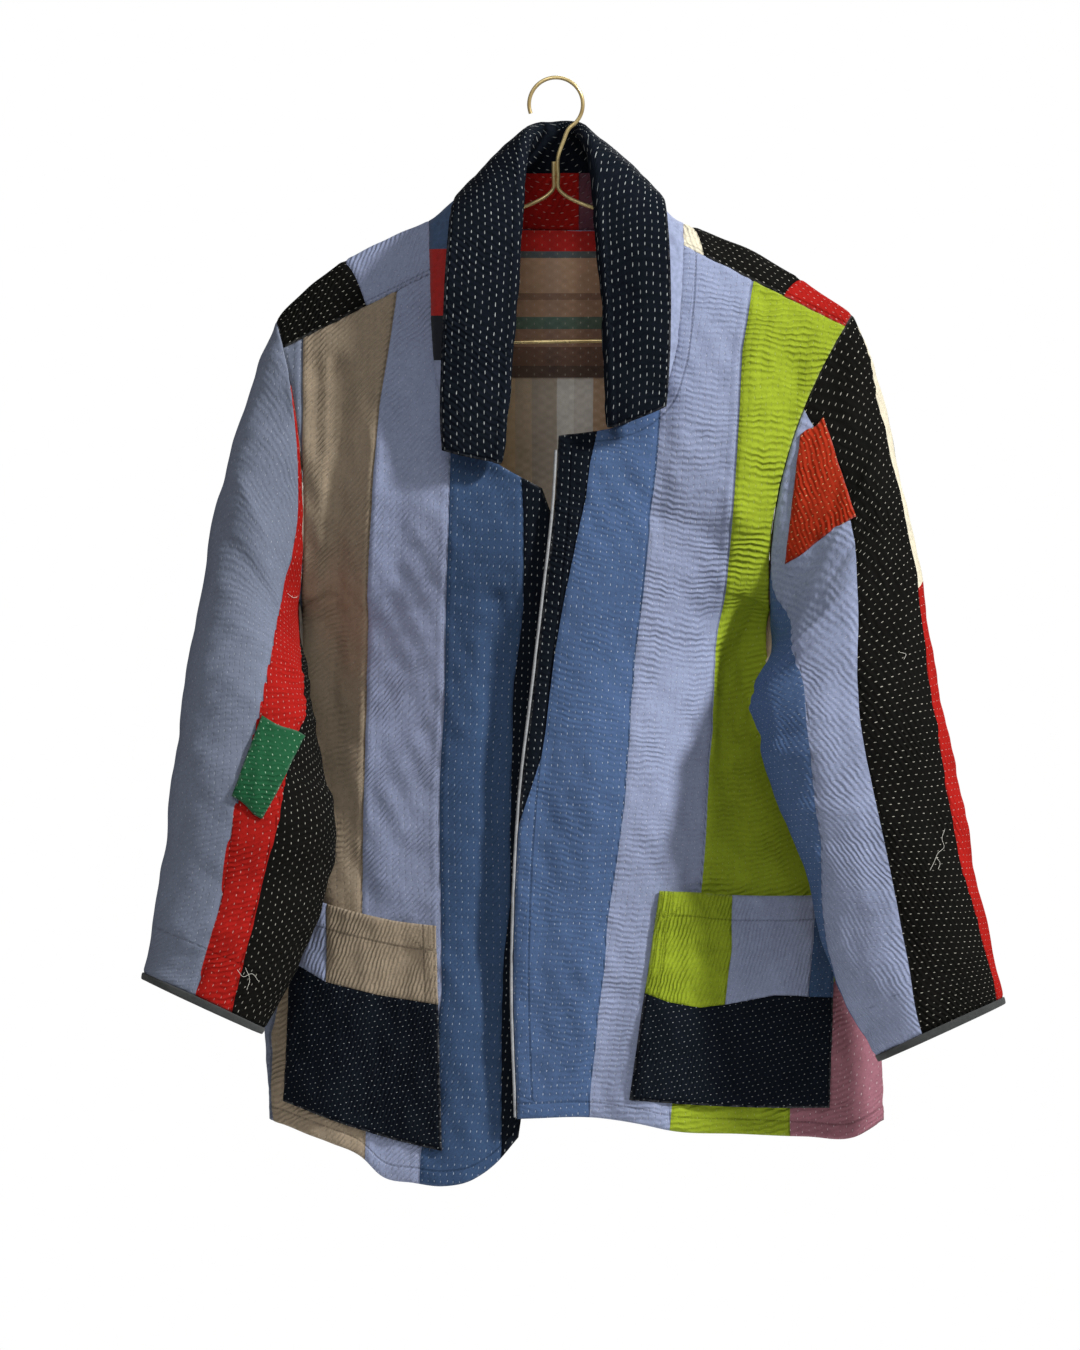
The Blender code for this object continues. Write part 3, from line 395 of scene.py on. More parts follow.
def sleeve_folds(side, s, turn):
    """Soft creases at the elbow and under the arm, as (s, turn, half length, half turn, lift)."""
    lift = np.zeros(np.broadcast(s, turn).shape)
    for at_s, at_turn, half_s, half_turn, rise in SLEEVE_FOLDS:
        away = (np.asarray(turn) - at_turn + 0.5) % 1 - 0.5
        slanted = s - at_s - side.sign * 0.25 * away
        lift = lift + rise * np.exp(-((slanted / half_s) ** 2) - (away / half_turn) ** 2)
    return lift


def between(corners, rows, columns, bow=0.0):
    """A grid of x, z inside four corners: top inner, top outer, bottom inner, bottom outer."""
    a, b, c, d = (np.array(p) for p in corners)
    q = np.linspace(0, 1, rows + 1)[:, None, None]
    u = np.linspace(0, 1, columns + 1)[None, :, None]
    grid = (a * (1 - u) + b * u) * (1 - q) + (c * (1 - u) + d * u) * q
    grid[..., 1] -= bow * np.sin(math.pi * u[..., 0])
    return grid


COLLAR_ROLL = 0.0042
# The collar's share from end to end, with its fold's and its edge's x, y, z in mm
COLLAR_LINES = in_mm(
    [
        (0, -47, -66, -307, -91, -78, -299), (0.06, -45, -70, -285, -92.5, -81, -275),
        (0.13, -40.5, -72, -245, -92, -81, -238), (0.2, -36, -72, -200, -90, -80, -192),
        (0.25, -32.5, -66, -152, -88, -75, -150), (0.3, -29, -50, -105, -85, -60, -118),
        (0.345, -26.5, -30, -73, -82, -34, -103), (0.39, -22.5, -7, -53, -77, 4, -95),
        (0.44, -15, 13, -43, -48, 36, -83), (0.5, 0, 24, -39.5, 0, 50, -76),
        (0.56, 15, 13, -42.5, 48, 36, -82), (0.61, 23, -7, -52, 78, 4, -93),
        (0.655, 29, -30, -70, 85, -34, -97), (0.7, 33, -50, -98, 88, -60, -109),
        (0.75, 36.5, -67, -140, 90.5, -76, -136), (0.8, 39.5, -74, -185, 91.5, -82, -175),
        (0.87, 42.5, -76, -230, 91, -85, -218), (0.94, 44, -76, -260, 89.5, -86, -245),
        (1, 44, -74, -279, 88, -85, -264),
    ],
    shares=1,
)


def even_steps(line, count):
    """The line's points, put evenly along it."""
    length = np.concatenate([[0], np.cumsum(np.linalg.norm(np.diff(line, axis=0), axis=1))])
    even = np.linspace(0, length[-1], count + 1)
    return np.stack([np.interp(even, length, line[:, k]) for k in range(3)], -1)


def arc(cx, cz, radius, first, last, count):
    """Points on an arc in the hanger's plane, with angles in degrees from +X."""
    angles = np.radians(np.linspace(first, last, count))
    return [(cx + radius * math.cos(a), 0.0, cz + radius * math.sin(a)) for a in angles]


def hanger_line():
    """The wire's middle line: hook tip, hook, stem, left arm, bar, right arm and short end."""
    hook_z = -HOOK_RADIUS + WIRE / 2
    stem_x = WIRE / 2 + STEM_GAP / 2
    hook = arc(0, hook_z, HOOK_RADIUS, 200, -58, 22)
    neck = [(stem_x + 0.004, 0, -0.050), (stem_x, 0, -0.062), (stem_x, 0, -0.078)]
    bend = [(stem_x + 0.0005, 0, YOKE_Z + 0.006), (stem_x + 0.006, 0, YOKE_Z + 0.0005)]
    arm = [(0.016, 0, YOKE_Z - 0.004), (0.030, 0, YOKE_Z - 0.0095)]
    for x in np.linspace(0.06, ARM_END_X - 0.012, 6):
        share = (x - 0.030) / (ARM_END_X - 0.030)
        arm.append((x, 0, YOKE_Z - 0.0095 + (ARM_END_Z - YOKE_Z + 0.0095) * share))
    corner = [
        (ARM_END_X, 0, ARM_END_Z - 0.001),
        (ARM_END_X + 0.0070, 0, ARM_END_Z - 0.0065),
        (HANGER_HALF_WIDTH, 0, ARM_END_Z - 0.0160),
        (HANGER_HALF_WIDTH - 0.0005, 0, BAR_Z + 0.0180),
        (HANGER_HALF_WIDTH - 0.0070, 0, BAR_Z + 0.0060),
        (HANGER_HALF_WIDTH - 0.0190, 0, BAR_Z),
    ]
    bar = [(x, 0, BAR_Z) for x in np.linspace(0.14, 0, 4)]
    half = bend + arm + corner + bar
    other = [(-x, y, z) for x, y, z in reversed(half[:-1])]
    short_end = [(-stem_x, 0, -0.078), (-stem_x, 0, SHORT_END_Z)]
    tilted = []
    for x, y, z in half + other:
        tilted.append((x, y, z + math.tan(HANGER_TILT) * x))
    return hook + neck + tilted + short_end


# Pocket corners in the front view, as x, z: top inner, top outer, bottom inner, bottom outer
POCKET_RIGHT = ((-0.0950, -0.6790), (-0.2100, -0.6530), (-0.0905, -0.8590), (-0.2165, -0.8200))
POCKET_LEFT = ((0.0820, -0.6510), (0.2230, -0.6560), (0.0590, -0.8180), (0.2180, -0.8250))
PATCH_GREEN = ((-0.2000, -0.5270), (-0.2350, -0.5110), (-0.2350, -0.5930), (-0.2575, -0.5740))
PATCH_ORANGE = ((0.1960, -0.2880), (0.2140, -0.2750), (0.1840, -0.3880), (0.2390, -0.3520))


# Seams between the strips, as lines of photograph pixels from top to bottom
FRONT_RIGHT_SEAMS = (
    ((301, 400), (300, 600), (296, 700), (291, 800), (285, 900), (276, 1000), (268, 1034), (270, 1110),
     (281, 1180)),
    ((396, 240), (396, 288), (389, 342), (379, 404), (373, 466), (368, 541), (366, 620), (365, 700),
     (362, 800), (360, 890), (365, 1133), (363, 1190)),
    ((455, 240), (452, 400), (450, 460), (445, 620), (443, 700), (438, 800), (440, 900), (441, 1000),
     (420, 1156), (418, 1210)),
    ((518, 400), (521, 479), (523, 515), (523, 604), (520, 630), (513, 681), (511, 732), (510, 800),
     (509.5, 900), (503, 954), (501, 1021), (501, 1128), (501, 1200)),
)
FRONT_LEFT_SEAMS = (
    ((600, 380), (596, 433), (588.5, 466), (585, 497), (578, 528), (568, 576), (562, 604), (554, 650),
     (548, 696), (544, 732), (540, 757), (529, 790), (512, 840), (500, 930), (495, 1021), (497, 1160)),
    ((661, 240), (659, 415), (656, 464), (648.5, 533), (643, 584), (636, 645), (631, 706), (624, 800),
     (614, 874), (607, 919), (603, 973), (598, 1008), (595, 1042), (590, 1088), (588.5, 1117),
     (588, 1170)),
    ((757, 240), (754, 275), (741, 350), (738, 414), (733, 495), (723, 620), (717, 700), (708, 800),
     (700, 893), (685, 1000), (670, 1108), (668, 1134), (668, 1170)),
    ((905, 240), (890, 700), (884, 850), (870, 880), (850, 940), (837, 979), (790, 1107), (790, 1140),
     (790, 1170)),
)
BACK_SEAMS = (
    ((306, 240), (322, 600), (318, 1180)),
    ((372, 240), (380, 600), (374, 1180)),
    ((452, 240), (456, 600), (450, 1180)),
    ((528, 240), (524, 600), (520, 1180)),
    ((566, 240), (560, 600), (556, 1180)),
    ((640, 240), (640, 600), (648, 1180)),
    ((704, 240), (716, 600), (730, 1180)),
    ((776, 240), (790, 600), (822, 1180)),
)
SLEEVE_RIGHT_SEAMS = (
    ((292, 380), (295, 402), (299, 440), (301, 469), (301, 506), (293, 550), (284, 600), (272, 655),
     (261, 716), (247, 770), (234, 820), (226, 870), (218, 920), (205, 966), (193, 1003), (191, 1016)),
    ((303, 500), (306, 550), (310, 600), (311, 650), (303, 700), (296, 740), (281, 788), (266, 855),
     (253, 920), (240, 970), (229, 1014), (228, 1024)),
)
SLEEVE_LEFT_SEAMS = (
    ((846, 300), (860, 325), (868, 352), (875, 385), (880, 410), (888, 440), (898, 480), (903, 510),
     (912, 555), (917, 590), (921, 620), (930, 680), (936, 732), (947, 804), (957, 861), (980, 929),
     (995, 996), (998, 1010)),
    ((802, 404), (818, 424), (841, 468), (850, 512), (857, 548), (859, 620), (857, 680), (860, 732),
     (874, 797), (887, 856), (900, 921), (913, 973), (922, 1036)),
    ((765, 545), (770, 585), (803, 680), (814, 758), (817, 825), (819, 880), (829, 950), (838, 990)),
)
# The pockets' seams: those between the strips above, and the one that the navy cloth hangs from
POCKET_RIGHT_SEAMS = (
    (((326, 880), (325, 1000), (324, 1160)),),
    ((270, 950), (293, 963), (325, 982), (378, 995), (442, 1005), (450, 1006)),
)
POCKET_LEFT_SEAMS = (
    (
        ((732, 880), (731, 951), (723, 1010), (722, 1120)),
        ((816, 880), (814, 925), (809, 992), (808, 1120)),
    ),
    ((625, 985), (643, 992), (667, 1001), (701, 1007), (727, 1004), (775, 995), (837, 998), (850, 999)),
)
# Seams on the far side of the sleeves, as (share down the sleeve, turn)
SLEEVE_RIGHT_FAR_SEAMS = (
    ((0, 0.60), (0.5, 0.63), (1, 0.60)),
    ((0, 0.73), (0.5, 0.75), (1, 0.74)),
    ((0, 0.88), (0.5, 0.86), (1, 0.88)),
)
SLEEVE_LEFT_FAR_SEAMS = (
    ((0, 0.58), (0.5, 0.60), (1, 0.58)),
    ((0, 0.70), (0.5, 0.71), (1, 0.70)),
    ((0, 0.86), (0.5, 0.85), (1, 0.86)),
)

# Creases finer than the solids have, as x, z, x, z, half width and lift in the front view, in mm
FINE_FOLDS_RIGHT = in_mm(
    [
        (-176, -225, -186, -440, 5, -1.6), (-160, -240, -170, -500, 6, 1.4),
        (-138, -200, -152, -420, 6, 1), (-120, -230, -128, -420, 8, -1),
        (-190, -500, -150, -660, 12, -1.8), (-172, -540, -140, -640, 9, 1.6),
        (-205, -600, -178, -650, 8, 1.4), (-30, -420, -34, -640, 6, -1.2), (-62, -430, -60, -600, 8, 1),
        (-100, -860, -92, -720, 8, -1.4), (-70, -884, -66, -800, 9, 1.6),
        (-150, -885, -160, -860, 8, 1.2),
    ]
)
FINE_FOLDS_LEFT = in_mm(
    [
        (160, -470, 162, -590, 42, -16.5), (186, -200, 150, -300, 6, 1.6),
        (170, -185, 160, -290, 5, -1.4), (196, -230, 176, -380, 6, -1.6),
        (214, -235, 196, -330, 5.5, 1.2), (150, -430, 140, -560, 8, -1.6),
        (132, -470, 122, -640, 8, 1.4), (30, -520, 20, -800, 8, 1.2), (-6, -480, -12, -800, 7, -1),
        (60, -460, 52, -560, 6, -1), (226, -700, 240, -840, 9, -1.6), (246, -720, 252, -836, 6, 1.4),
        (110, -838, 120, -800, 8, -1.2),
    ]
)
FINE_FOLDS_BACK = in_mm(
    [
        (-160, -240, -172, -620, 9, -2), (-96, -300, -108, -820, 11, 1.8),
        (-10, -260, -2, -800, 12, -2), (78, -300, 92, -830, 11, 2), (150, -230, 164, -560, 9, -1.8),
        (214, -600, 226, -820, 8, 1.6), (-196, -560, -206, -820, 8, 1.6),
        (-60, -200, 60, -190, 10, -1.4),
    ]
)
# Creases on the sleeves, as (share down, turn, half length, half turn, lift, slant)
FINE_FOLDS_SLEEVE = (
    (0.4, 0.36, 0.012, 0.13, 0.0016, 0.3), (0.44, 0.4, 0.014, 0.12, -0.0018, 0.25),
    (0.51, 0.4, 0.014, 0.13, 0.0018, 0.2), (0.61, 0.37, 0.014, 0.13, -0.0016, -0.1),
    (0.64, 0.42, 0.013, 0.1, 0.0018, -0.2), (0.73, 0.36, 0.014, 0.12, 0.0014, -0.25),
    (0.78, 0.33, 0.014, 0.12, -0.0014, -0.2), (0.86, 0.28, 0.014, 0.14, 0.0012, 0.2),
    (0.91, 0.22, 0.012, 0.12, -0.0012, 0.25), (0.3, 0.2, 0.016, 0.12, -0.001, 0.6),
    (0.22, 0.14, 0.015, 0.1, 0.0012, 0.7), (0.5, 0.66, 0.016, 0.13, 0.002, -0.2),
    (0.6, 0.62, 0.016, 0.13, -0.002, 0.1), (0.72, 0.7, 0.016, 0.13, 0.0016, 0.2),
    (0.34, 0.8, 0.018, 0.12, -0.0014, 0.4), (0.84, 0.8, 0.016, 0.14, 0.0014, -0.2),
)

# Every cloth piece, by its solid: its name, its material slot, and its cut width, length and area
PIECES = {
    "front_right": ("front_right_cloth", "quilted_front_right", 0.270, 0.740, 0.148),
    "front_left": ("front_left_cloth", "quilted_front_left", 0.310, 0.720, 0.160),
    "back": ("back_cloth", "quilted_back", 0.560, 0.760, 0.310),
    "yoke_right": ("yoke_right_cloth", "quilted_yoke", 0.150, 0.072, 0.0086),
    "yoke_left": ("yoke_left_cloth", "quilted_yoke", 0.160, 0.072, 0.0083),
    "sleeve_right": ("sleeve_right_cloth", "quilted_sleeve_right", 0.340, 0.560, 0.136),
    "sleeve_left": ("sleeve_left_cloth", "quilted_sleeve_left", 0.380, 0.580, 0.165),
    "cuff_right": ("cuff_right_binding", "grey_binding", 0.250, 0.012, 0.0023),
    "cuff_left": ("cuff_left_binding", "grey_binding", 0.270, 0.012, 0.0025),
    "collar": ("collar_cloth", "navy_stitched", 0.760, 0.150, 0.090),
    "pocket_right": ("pocket_right_cloth", "navy_stitched", 0.140, 0.190, 0.0231),
    "pocket_left": ("pocket_left_cloth", "navy_stitched", 0.172, 0.178, 0.0278),
    "patch_green": ("green_patch_cloth", "green_patch", 0.044, 0.076, 0.0027),
    "patch_orange": ("orange_patch_cloth", "orange_patch", 0.060, 0.100, 0.0039),
}

# Stitch rows are counted from far beside a piece, so that no count is below 0
ROWS_AHEAD = 200
FEW_AHEAD = 40
# A distance, in mm, that keeps a place clear of a line of stitching
FAR = 50.0

# Every fabric: its thread's colour, how much the thread shows, and how strongly it ripples, which also sets
# how much painted shade and highlight its ripples get
FABRICS = {
    "lilac": ((0.66, 0.70, 0.84), 0.60, 0.60),
    "slate": ((0.58, 0.62, 0.72), 0.60, 0.22),
    "blue": ((0.56, 0.63, 0.76), 0.80, 0.26),
    "deep_blue": ((0.50, 0.58, 0.72), 0.75, 0.24),
    "khaki": ((0.62, 0.57, 0.47), 0.35, 0.75),
    "navy": ((0.50, 0.53, 0.52), 0.9, 0.4),
    "black": ((0.56, 0.54, 0.46), 0.9, 0.4),
    "red": ((0.88, 0.50, 0.45), 0.70, 0.6),
    "orange": ((0.95, 0.62, 0.30), 0.75, 0.7),
    "green": ((0.62, 0.72, 0.22), 0.40, 1.05),
    "emerald": ((0.50, 0.75, 0.52), 0.80, 0.6),
    "pink": ((0.78, 0.60, 0.64), 0.80, 0.5),
    "cream": ((0.80, 0.76, 0.66), 0.40, 0.6),
    "purple": ((0.45, 0.38, 0.42), 0.50, 0.5),
}

# A colour step holds values up to 1, so the ripples are divided by this on the way through it
MOST_RIPPLE = 1.5


def colour_choice(label, colour):
    return FloatVectorProperty(
        name=label,
        description=f"The base colour of the {label.lower()} cloth",
        subtype="COLOR",
        size=3,
        min=0,
        max=1,
        default=colour,
    )


class JacketColours(bpy.types.PropertyGroup):
    """The colours of the cloths, the lining, the trim and the wire."""

    lilac: colour_choice("Lilac", (0.282, 0.322, 0.468))
    slate: colour_choice("Slate", (0.188, 0.216, 0.288))
    blue: colour_choice("Blue", (0.076, 0.129, 0.255))
    deep_blue: colour_choice("Deep blue", (0.046, 0.084, 0.168))
    khaki: colour_choice("Khaki", (0.330, 0.262, 0.186))
    navy: colour_choice("Navy", (0.0060, 0.0086, 0.0135))
    black: colour_choice("Charcoal", (0.0066, 0.0064, 0.0058))
    red: colour_choice("Red", (0.370, 0.013, 0.010))
    orange: colour_choice("Orange red", (0.360, 0.028, 0.010))
    green: colour_choice("Lime green", (0.300, 0.385, 0.026))
    emerald: colour_choice("Emerald", (0.016, 0.090, 0.038))
    pink: colour_choice("Pink", (0.330, 0.140, 0.175))
    cream: colour_choice("Cream", (0.740, 0.680, 0.520))
    purple: colour_choice("Purple grey", (0.130, 0.050, 0.070))
    binding: colour_choice("Cuff binding", (0.050, 0.052, 0.052))
    piping: colour_choice("Piping", (0.360, 0.370, 0.380))
    brass: colour_choice("Brass", (0.850, 0.680, 0.330))


def size_choice(label, description, metres):
    return FloatProperty(name=label, description=description, default=metres, unit="LENGTH")


class JacketSizes(bpy.types.PropertyGroup):
    """The sizes of the stitches, seams and folds."""

    thickness: size_choice("Cloth thickness", "Thickness of the quilted layers", 0.0022)
    row_gap: size_choice("Stitch rows", "Distance between two rows of stitches", 0.0050)
    stitch_gap: size_choice("Stitch spacing", "Distance from one stitch to the next", 0.0064)
    stitch_length: size_choice("Stitch length", "Length of a stitch on the outside", 0.0019)
    stitch_width: size_choice("Stitch width", "Width of the thread", 0.00066)
    ripple: size_choice("Ripples", "Height of the ripples between the stitches", 0.00055)
    seam_depth: size_choice("Seam depth", "How far the cloth dips at a seam", 0.0009)
    hem: size_choice("Hem", "Width of the turned hem", 0.012)
    floor_drop: size_choice("Floor", "Height of the floor below the hook", -1.140)
    fold_strength: FloatProperty(
        name="Fine folds", description="How much of the fine folds is used", default=1.0, min=0, max=2
    )
    front_columns: IntProperty(
        name="Front columns", description="Grid columns across one front", default=124, min=20, max=200
    )


class Bench:
    """Adds nodes to one new material and joins them up."""

    def __init__(self, name):
        self.material = bpy.data.materials.new(name)
        self.material.use_nodes = True
        self.nodes = self.material.node_tree.nodes
        self.links = self.material.node_tree.links
        self.shader = self.nodes["Principled BSDF"]

    def put(self, socket, value):
        if isinstance(value, bpy.types.NodeSocket):
            self.links.new(value, socket)
        else:
            socket.default_value = value

    def calc(self, operation, *values):
        node = self.nodes.new("ShaderNodeMath")
        node.operation = operation
        for socket, value in zip(node.inputs, values):
            self.put(socket, value)
        return node.outputs[0]

    def plus(self, a, b):
        return self.calc("ADD", a, b)

    def minus(self, a, b):
        return self.calc("SUBTRACT", a, b)

    def times(self, a, b):
        return self.calc("MULTIPLY", a, b)

    def over(self, a, b):
        return self.calc("DIVIDE", a, b)

    def total(self, value, *parts):
        """The value plus every part times its own amount."""
        for part, amount in parts:
            value = self.plus(value, self.times(part, amount))
        return value

    def wave(self, value, pitch):
        return self.calc("SINE", self.times(value, 2 * math.pi / pitch))

    def centred(self, value):
        return self.minus(value, 0.5)

    def round_spot(self, beside, ahead):
        """How far a place is from the middle of a stitch."""
        return self.calc("SQRT", self.plus(self.calc("POWER", beside, 2.0), self.calc("POWER", ahead, 2.0)))

    def spread(self, value, low, high, to_low=0.0, to_high=1.0, smooth=False):
        node = self.nodes.new("ShaderNodeMapRange")
        node.interpolation_type = "SMOOTHSTEP" if smooth else "LINEAR"
        for name, item in (
            ("Value", value),
            ("From Min", low),
            ("From Max", high),
            ("To Min", to_low),
            ("To Max", to_high),
        ):
            self.put(node.inputs[name], item)
        return node.outputs[0]

    def value_of(self, name):
        node = self.nodes.new("ShaderNodeAttribute")
        node.attribute_name = name
        return node.outputs["Fac"]

    def stitch_map(self):
        node = self.nodes.new("ShaderNodeUVMap")
        node.uv_map = "Stitch"
        return self.apart(node.outputs[0])

    def place(self):
        return self.nodes.new("ShaderNodeTexCoord").outputs["Object"]

    def apart(self, vector):
        node = self.nodes.new("ShaderNodeSeparateXYZ")
        self.put(node.inputs[0], vector)
        return node.outputs

    def together(self, x, y, z=0.0):
        node = self.nodes.new("ShaderNodeCombineXYZ")
        for socket, value in zip(node.inputs, (x, y, z)):
            self.put(socket, value)
        return node.outputs[0]

    def noise(self, scale, detail=2.0, vector=None):
        node = self.nodes.new("ShaderNodeTexNoise")
        self.put(node.inputs["Vector"], vector or self.place())
        node.inputs["Scale"].default_value = scale
        node.inputs["Detail"].default_value = detail
        return node.outputs[0]

    def chance(self, x, y):
        node = self.nodes.new("ShaderNodeTexWhiteNoise")
        node.noise_dimensions = "2D"
        self.put(node.inputs["Vector"], self.together(x, y))
        return node.outputs["Value"]

    def steps(self, factor, colours, interpolation="CONSTANT"):
        """One colour for each place from 0 to 1, as (place, colour)."""
        node = self.nodes.new("ShaderNodeValToRGB")
        ramp = node.color_ramp
        ramp.interpolation = interpolation
        ramp.elements.remove(ramp.elements[1])
        for k, (position, colour) in enumerate(colours):
            element = ramp.elements[0] if k == 0 else ramp.elements.new(position)
            element.position = position
            element.color = (*colour, 1)
        self.put(node.inputs[0], factor)
        return node.outputs[0]

    def mixed(self, factor, a, b):
        node = self.nodes.new("ShaderNodeMix")
        node.data_type = "RGBA"
        self.put(node.inputs[0], factor)
        for socket, value in ((node.inputs[6], a), (node.inputs[7], b)):
            self.put(socket, value if isinstance(value, bpy.types.NodeSocket) else (*value, 1))
        return node.outputs[2]

    def scaled(self, colour, factor):
        node = self.nodes.new("ShaderNodeVectorMath")
        node.operation = "SCALE"
        self.put(node.inputs[0], colour)
        self.put(node.inputs["Scale"], factor)
        return node.outputs[0]

    def raised(self, height, distance):
        """Feeds a height in millimetres to the shader as a bump."""
        node = self.nodes.new("ShaderNodeBump")
        node.inputs["Distance"].default_value = distance
        self.put(node.inputs["Height"], height)
        self.put(self.shader.inputs["Normal"], node.outputs[0])

    def finish(self, colour, roughness, sheen=0.0, metallic=0.0, specular=0.3):
        self.put(self.shader.inputs["Base Color"], colour)
        self.put(self.shader.inputs["Roughness"], roughness)
        self.shader.inputs["Sheen Weight"].default_value = sheen
        self.shader.inputs["Sheen Roughness"].default_value = 0.6
        self.shader.inputs["Metallic"].default_value = metallic
        self.shader.inputs["Specular IOR Level"].default_value = specular
        return self.material


def quilted(name, strips, strips_below=None, stitch_size=None):
    """Hand-quilted cloth in strips. Stitches, ripples and seams follow the piece's own values.
    strips_below gives the fabrics where the value "band" is above 0."""
    colours, sizes = bpy.context.scene.jacket_colours, bpy.context.scene.jacket_sizes
    bench = Bench(name)
    count = len(strips)
    strip = bench.over(bench.value_of("strip"), float(count))

    def pick(fabrics, look):
        return bench.steps(strip, [(k / count, look(fabric)) for k, fabric in enumerate(fabrics)])

    looks = (
        lambda fabric: tuple(getattr(colours, fabric)),
        lambda fabric: FABRICS[fabric][0],
        lambda fabric: (FABRICS[fabric][1], FABRICS[fabric][2] / MOST_RIPPLE, 0),
    )
    cloth, thread, habit = (pick(strips, look) for look in looks)
    if strips_below:
        below = bench.calc("GREATER_THAN", bench.value_of("band"), 0.0)
        cloth, thread, habit = (
            bench.mixed(below, above, pick(strips_below, look))
            for above, look in zip((cloth, thread, habit), looks)
        )
    shown, rippled, _ = bench.apart(habit)
    rippled = bench.times(rippled, MOST_RIPPLE)
    stitch_length, stitch_width = stitch_size or (sizes.stitch_length, sizes.stitch_width)

    u, v, _ = bench.stitch_map()
    along = bench.plus(v, bench.times(bench.centred(bench.noise(11.0, 2.0)), 2.4))
    across = bench.plus(u, bench.times(bench.centred(bench.noise(40.0, 1.0)), 0.5))

    # Ripples run slantwise, and zigzag a little because each row is half a stitch on from the last
    zigzag = bench.calc("PINGPONG", bench.centred(across), 1.0)
    drift = bench.centred(bench.noise(26.0, 3.0))
    phase = bench.total(bench.times(along, 1.35), (zigzag, 0.16), (drift, 2.4), (across, 0.46))
    wave = bench.wave(phase, 1.0)
    patchy = bench.spread(bench.noise(30.0, 3.0), 0.35, 0.65, 0.15, 1.25)
    swirl = bench.centred(bench.noise(120.0, 2.0))
    ripple = bench.total(bench.times(bench.times(wave, patchy), rippled), (swirl, bench.times(rippled, 1.6)))

    # Stitches lie in the middle of each row, one in each cell
    row = bench.calc("FLOOR", across)
    shifted = bench.plus(along, bench.times(bench.calc("PINGPONG", row, 1.0), 0.5))
    cell = bench.calc("FLOOR", shifted)
    chance = bench.chance(row, cell)
    other_chance = bench.chance(cell, row)
    beside = bench.total(bench.centred(bench.calc("FRACT", across)), (bench.centred(other_chance), 0.14))
    ahead = bench.total(bench.centred(bench.calc("FRACT", shifted)), (bench.centred(chance), 0.16))
    longest = bench.spread(other_chance, 0.0, 1.0, 0.75, 1.2)
    away = bench.round_spot(
        bench.times(beside, 2 * sizes.row_gap / stitch_width),
        bench.over(bench.times(ahead, 2 * sizes.stitch_gap / stitch_length), longest),
    )
    stitch = bench.spread(away, 0.75, 1.15, 1.0, 0.0, smooth=True)
    bright = bench.spread(chance, 0.0, 1.0, 0.35, 0.95)
    thread_shows = bench.times(bench.times(stitch, shown), bright)
    dimple = bench.spread(away, 0.9, 2.6, 1.0, 0.0, smooth=True)

    # Seams between strips and lines of machine stitching
    seam = bench.spread(bench.value_of("seam"), 0.25, 1.3, 1.0, 0.0, smooth=True)
    beyond = bench.calc("ABSOLUTE", bench.value_of("topstitch"))
    groove = bench.spread(beyond, 0.3, 1.5, 1.0, 0.0, smooth=True)
    step = bench.calc("FRACT", bench.over(bench.value_of("run"), 2.9))
    thread_line = bench.times(bench.calc("LESS_THAN", step, 0.68), bench.spread(beyond, 0.25, 0.55, 1.0, 0.0))

    # Weave, fading and wear, and painted shade: the colour is darker in the ripples' valleys, along the
    # seams, in the grooves of the machine stitching and in the dimple round each stitch, and lighter on the
    # ripples' crests as a painted highlight
    weave = bench.noise(900.0, 1.0)
    slub = bench.noise(260.0, 2.0)
    worn = bench.spread(bench.value_of("edge"), 0.0, 2.2, 1.0, 0.0)
    worn = bench.times(worn, bench.spread(slub, 0.4, 0.6))
    # Painted shade and highlight: the ripple, seam, groove and dimple terms darken the recesses and lighten
    # the ripples' crests; the noise, weave and slub terms are random tone
    light = bench.total(
        bench.spread(bench.noise(6.0, 4.0), 0.3, 0.7, 0.88, 1.10),
        (bench.centred(weave), 0.35),
        (bench.centred(slub), 0.30),
        (ripple, 0.07),
        (seam, -0.38),
        (groove, -0.16),
        (dimple, -0.10),
    )
    colour = bench.scaled(cloth, light)
    colour = bench.mixed(bench.times(worn, 0.22), colour, bench.mixed(0.5, colour, (0.6, 0.6, 0.6)))
    colour = bench.mixed(bench.times(thread_line, 0.45), colour, bench.scaled(colour, 0.40))
    colour = bench.mixed(thread_shows, colour, thread)
    height = bench.total(
        bench.times(ripple, sizes.ripple * 1000),
        (weave, 0.10),
        (slub, 0.14),
        (stitch, 0.16),
        (dimple, -0.22),
        (seam, -0.45),
        (groove, -0.40),
    )
    bench.raised(height, 0.001)
    return bench.finish(colour, bench.spread(ripple, -1.0, 1.0, 0.95, 0.80), specular=0.03)


# The lining's thread pitch, its stitch rows and its stitches' spacing
LINING_THREAD = 0.0016
LINING_ROW = 0.0062
LINING_STITCH = 0.0075


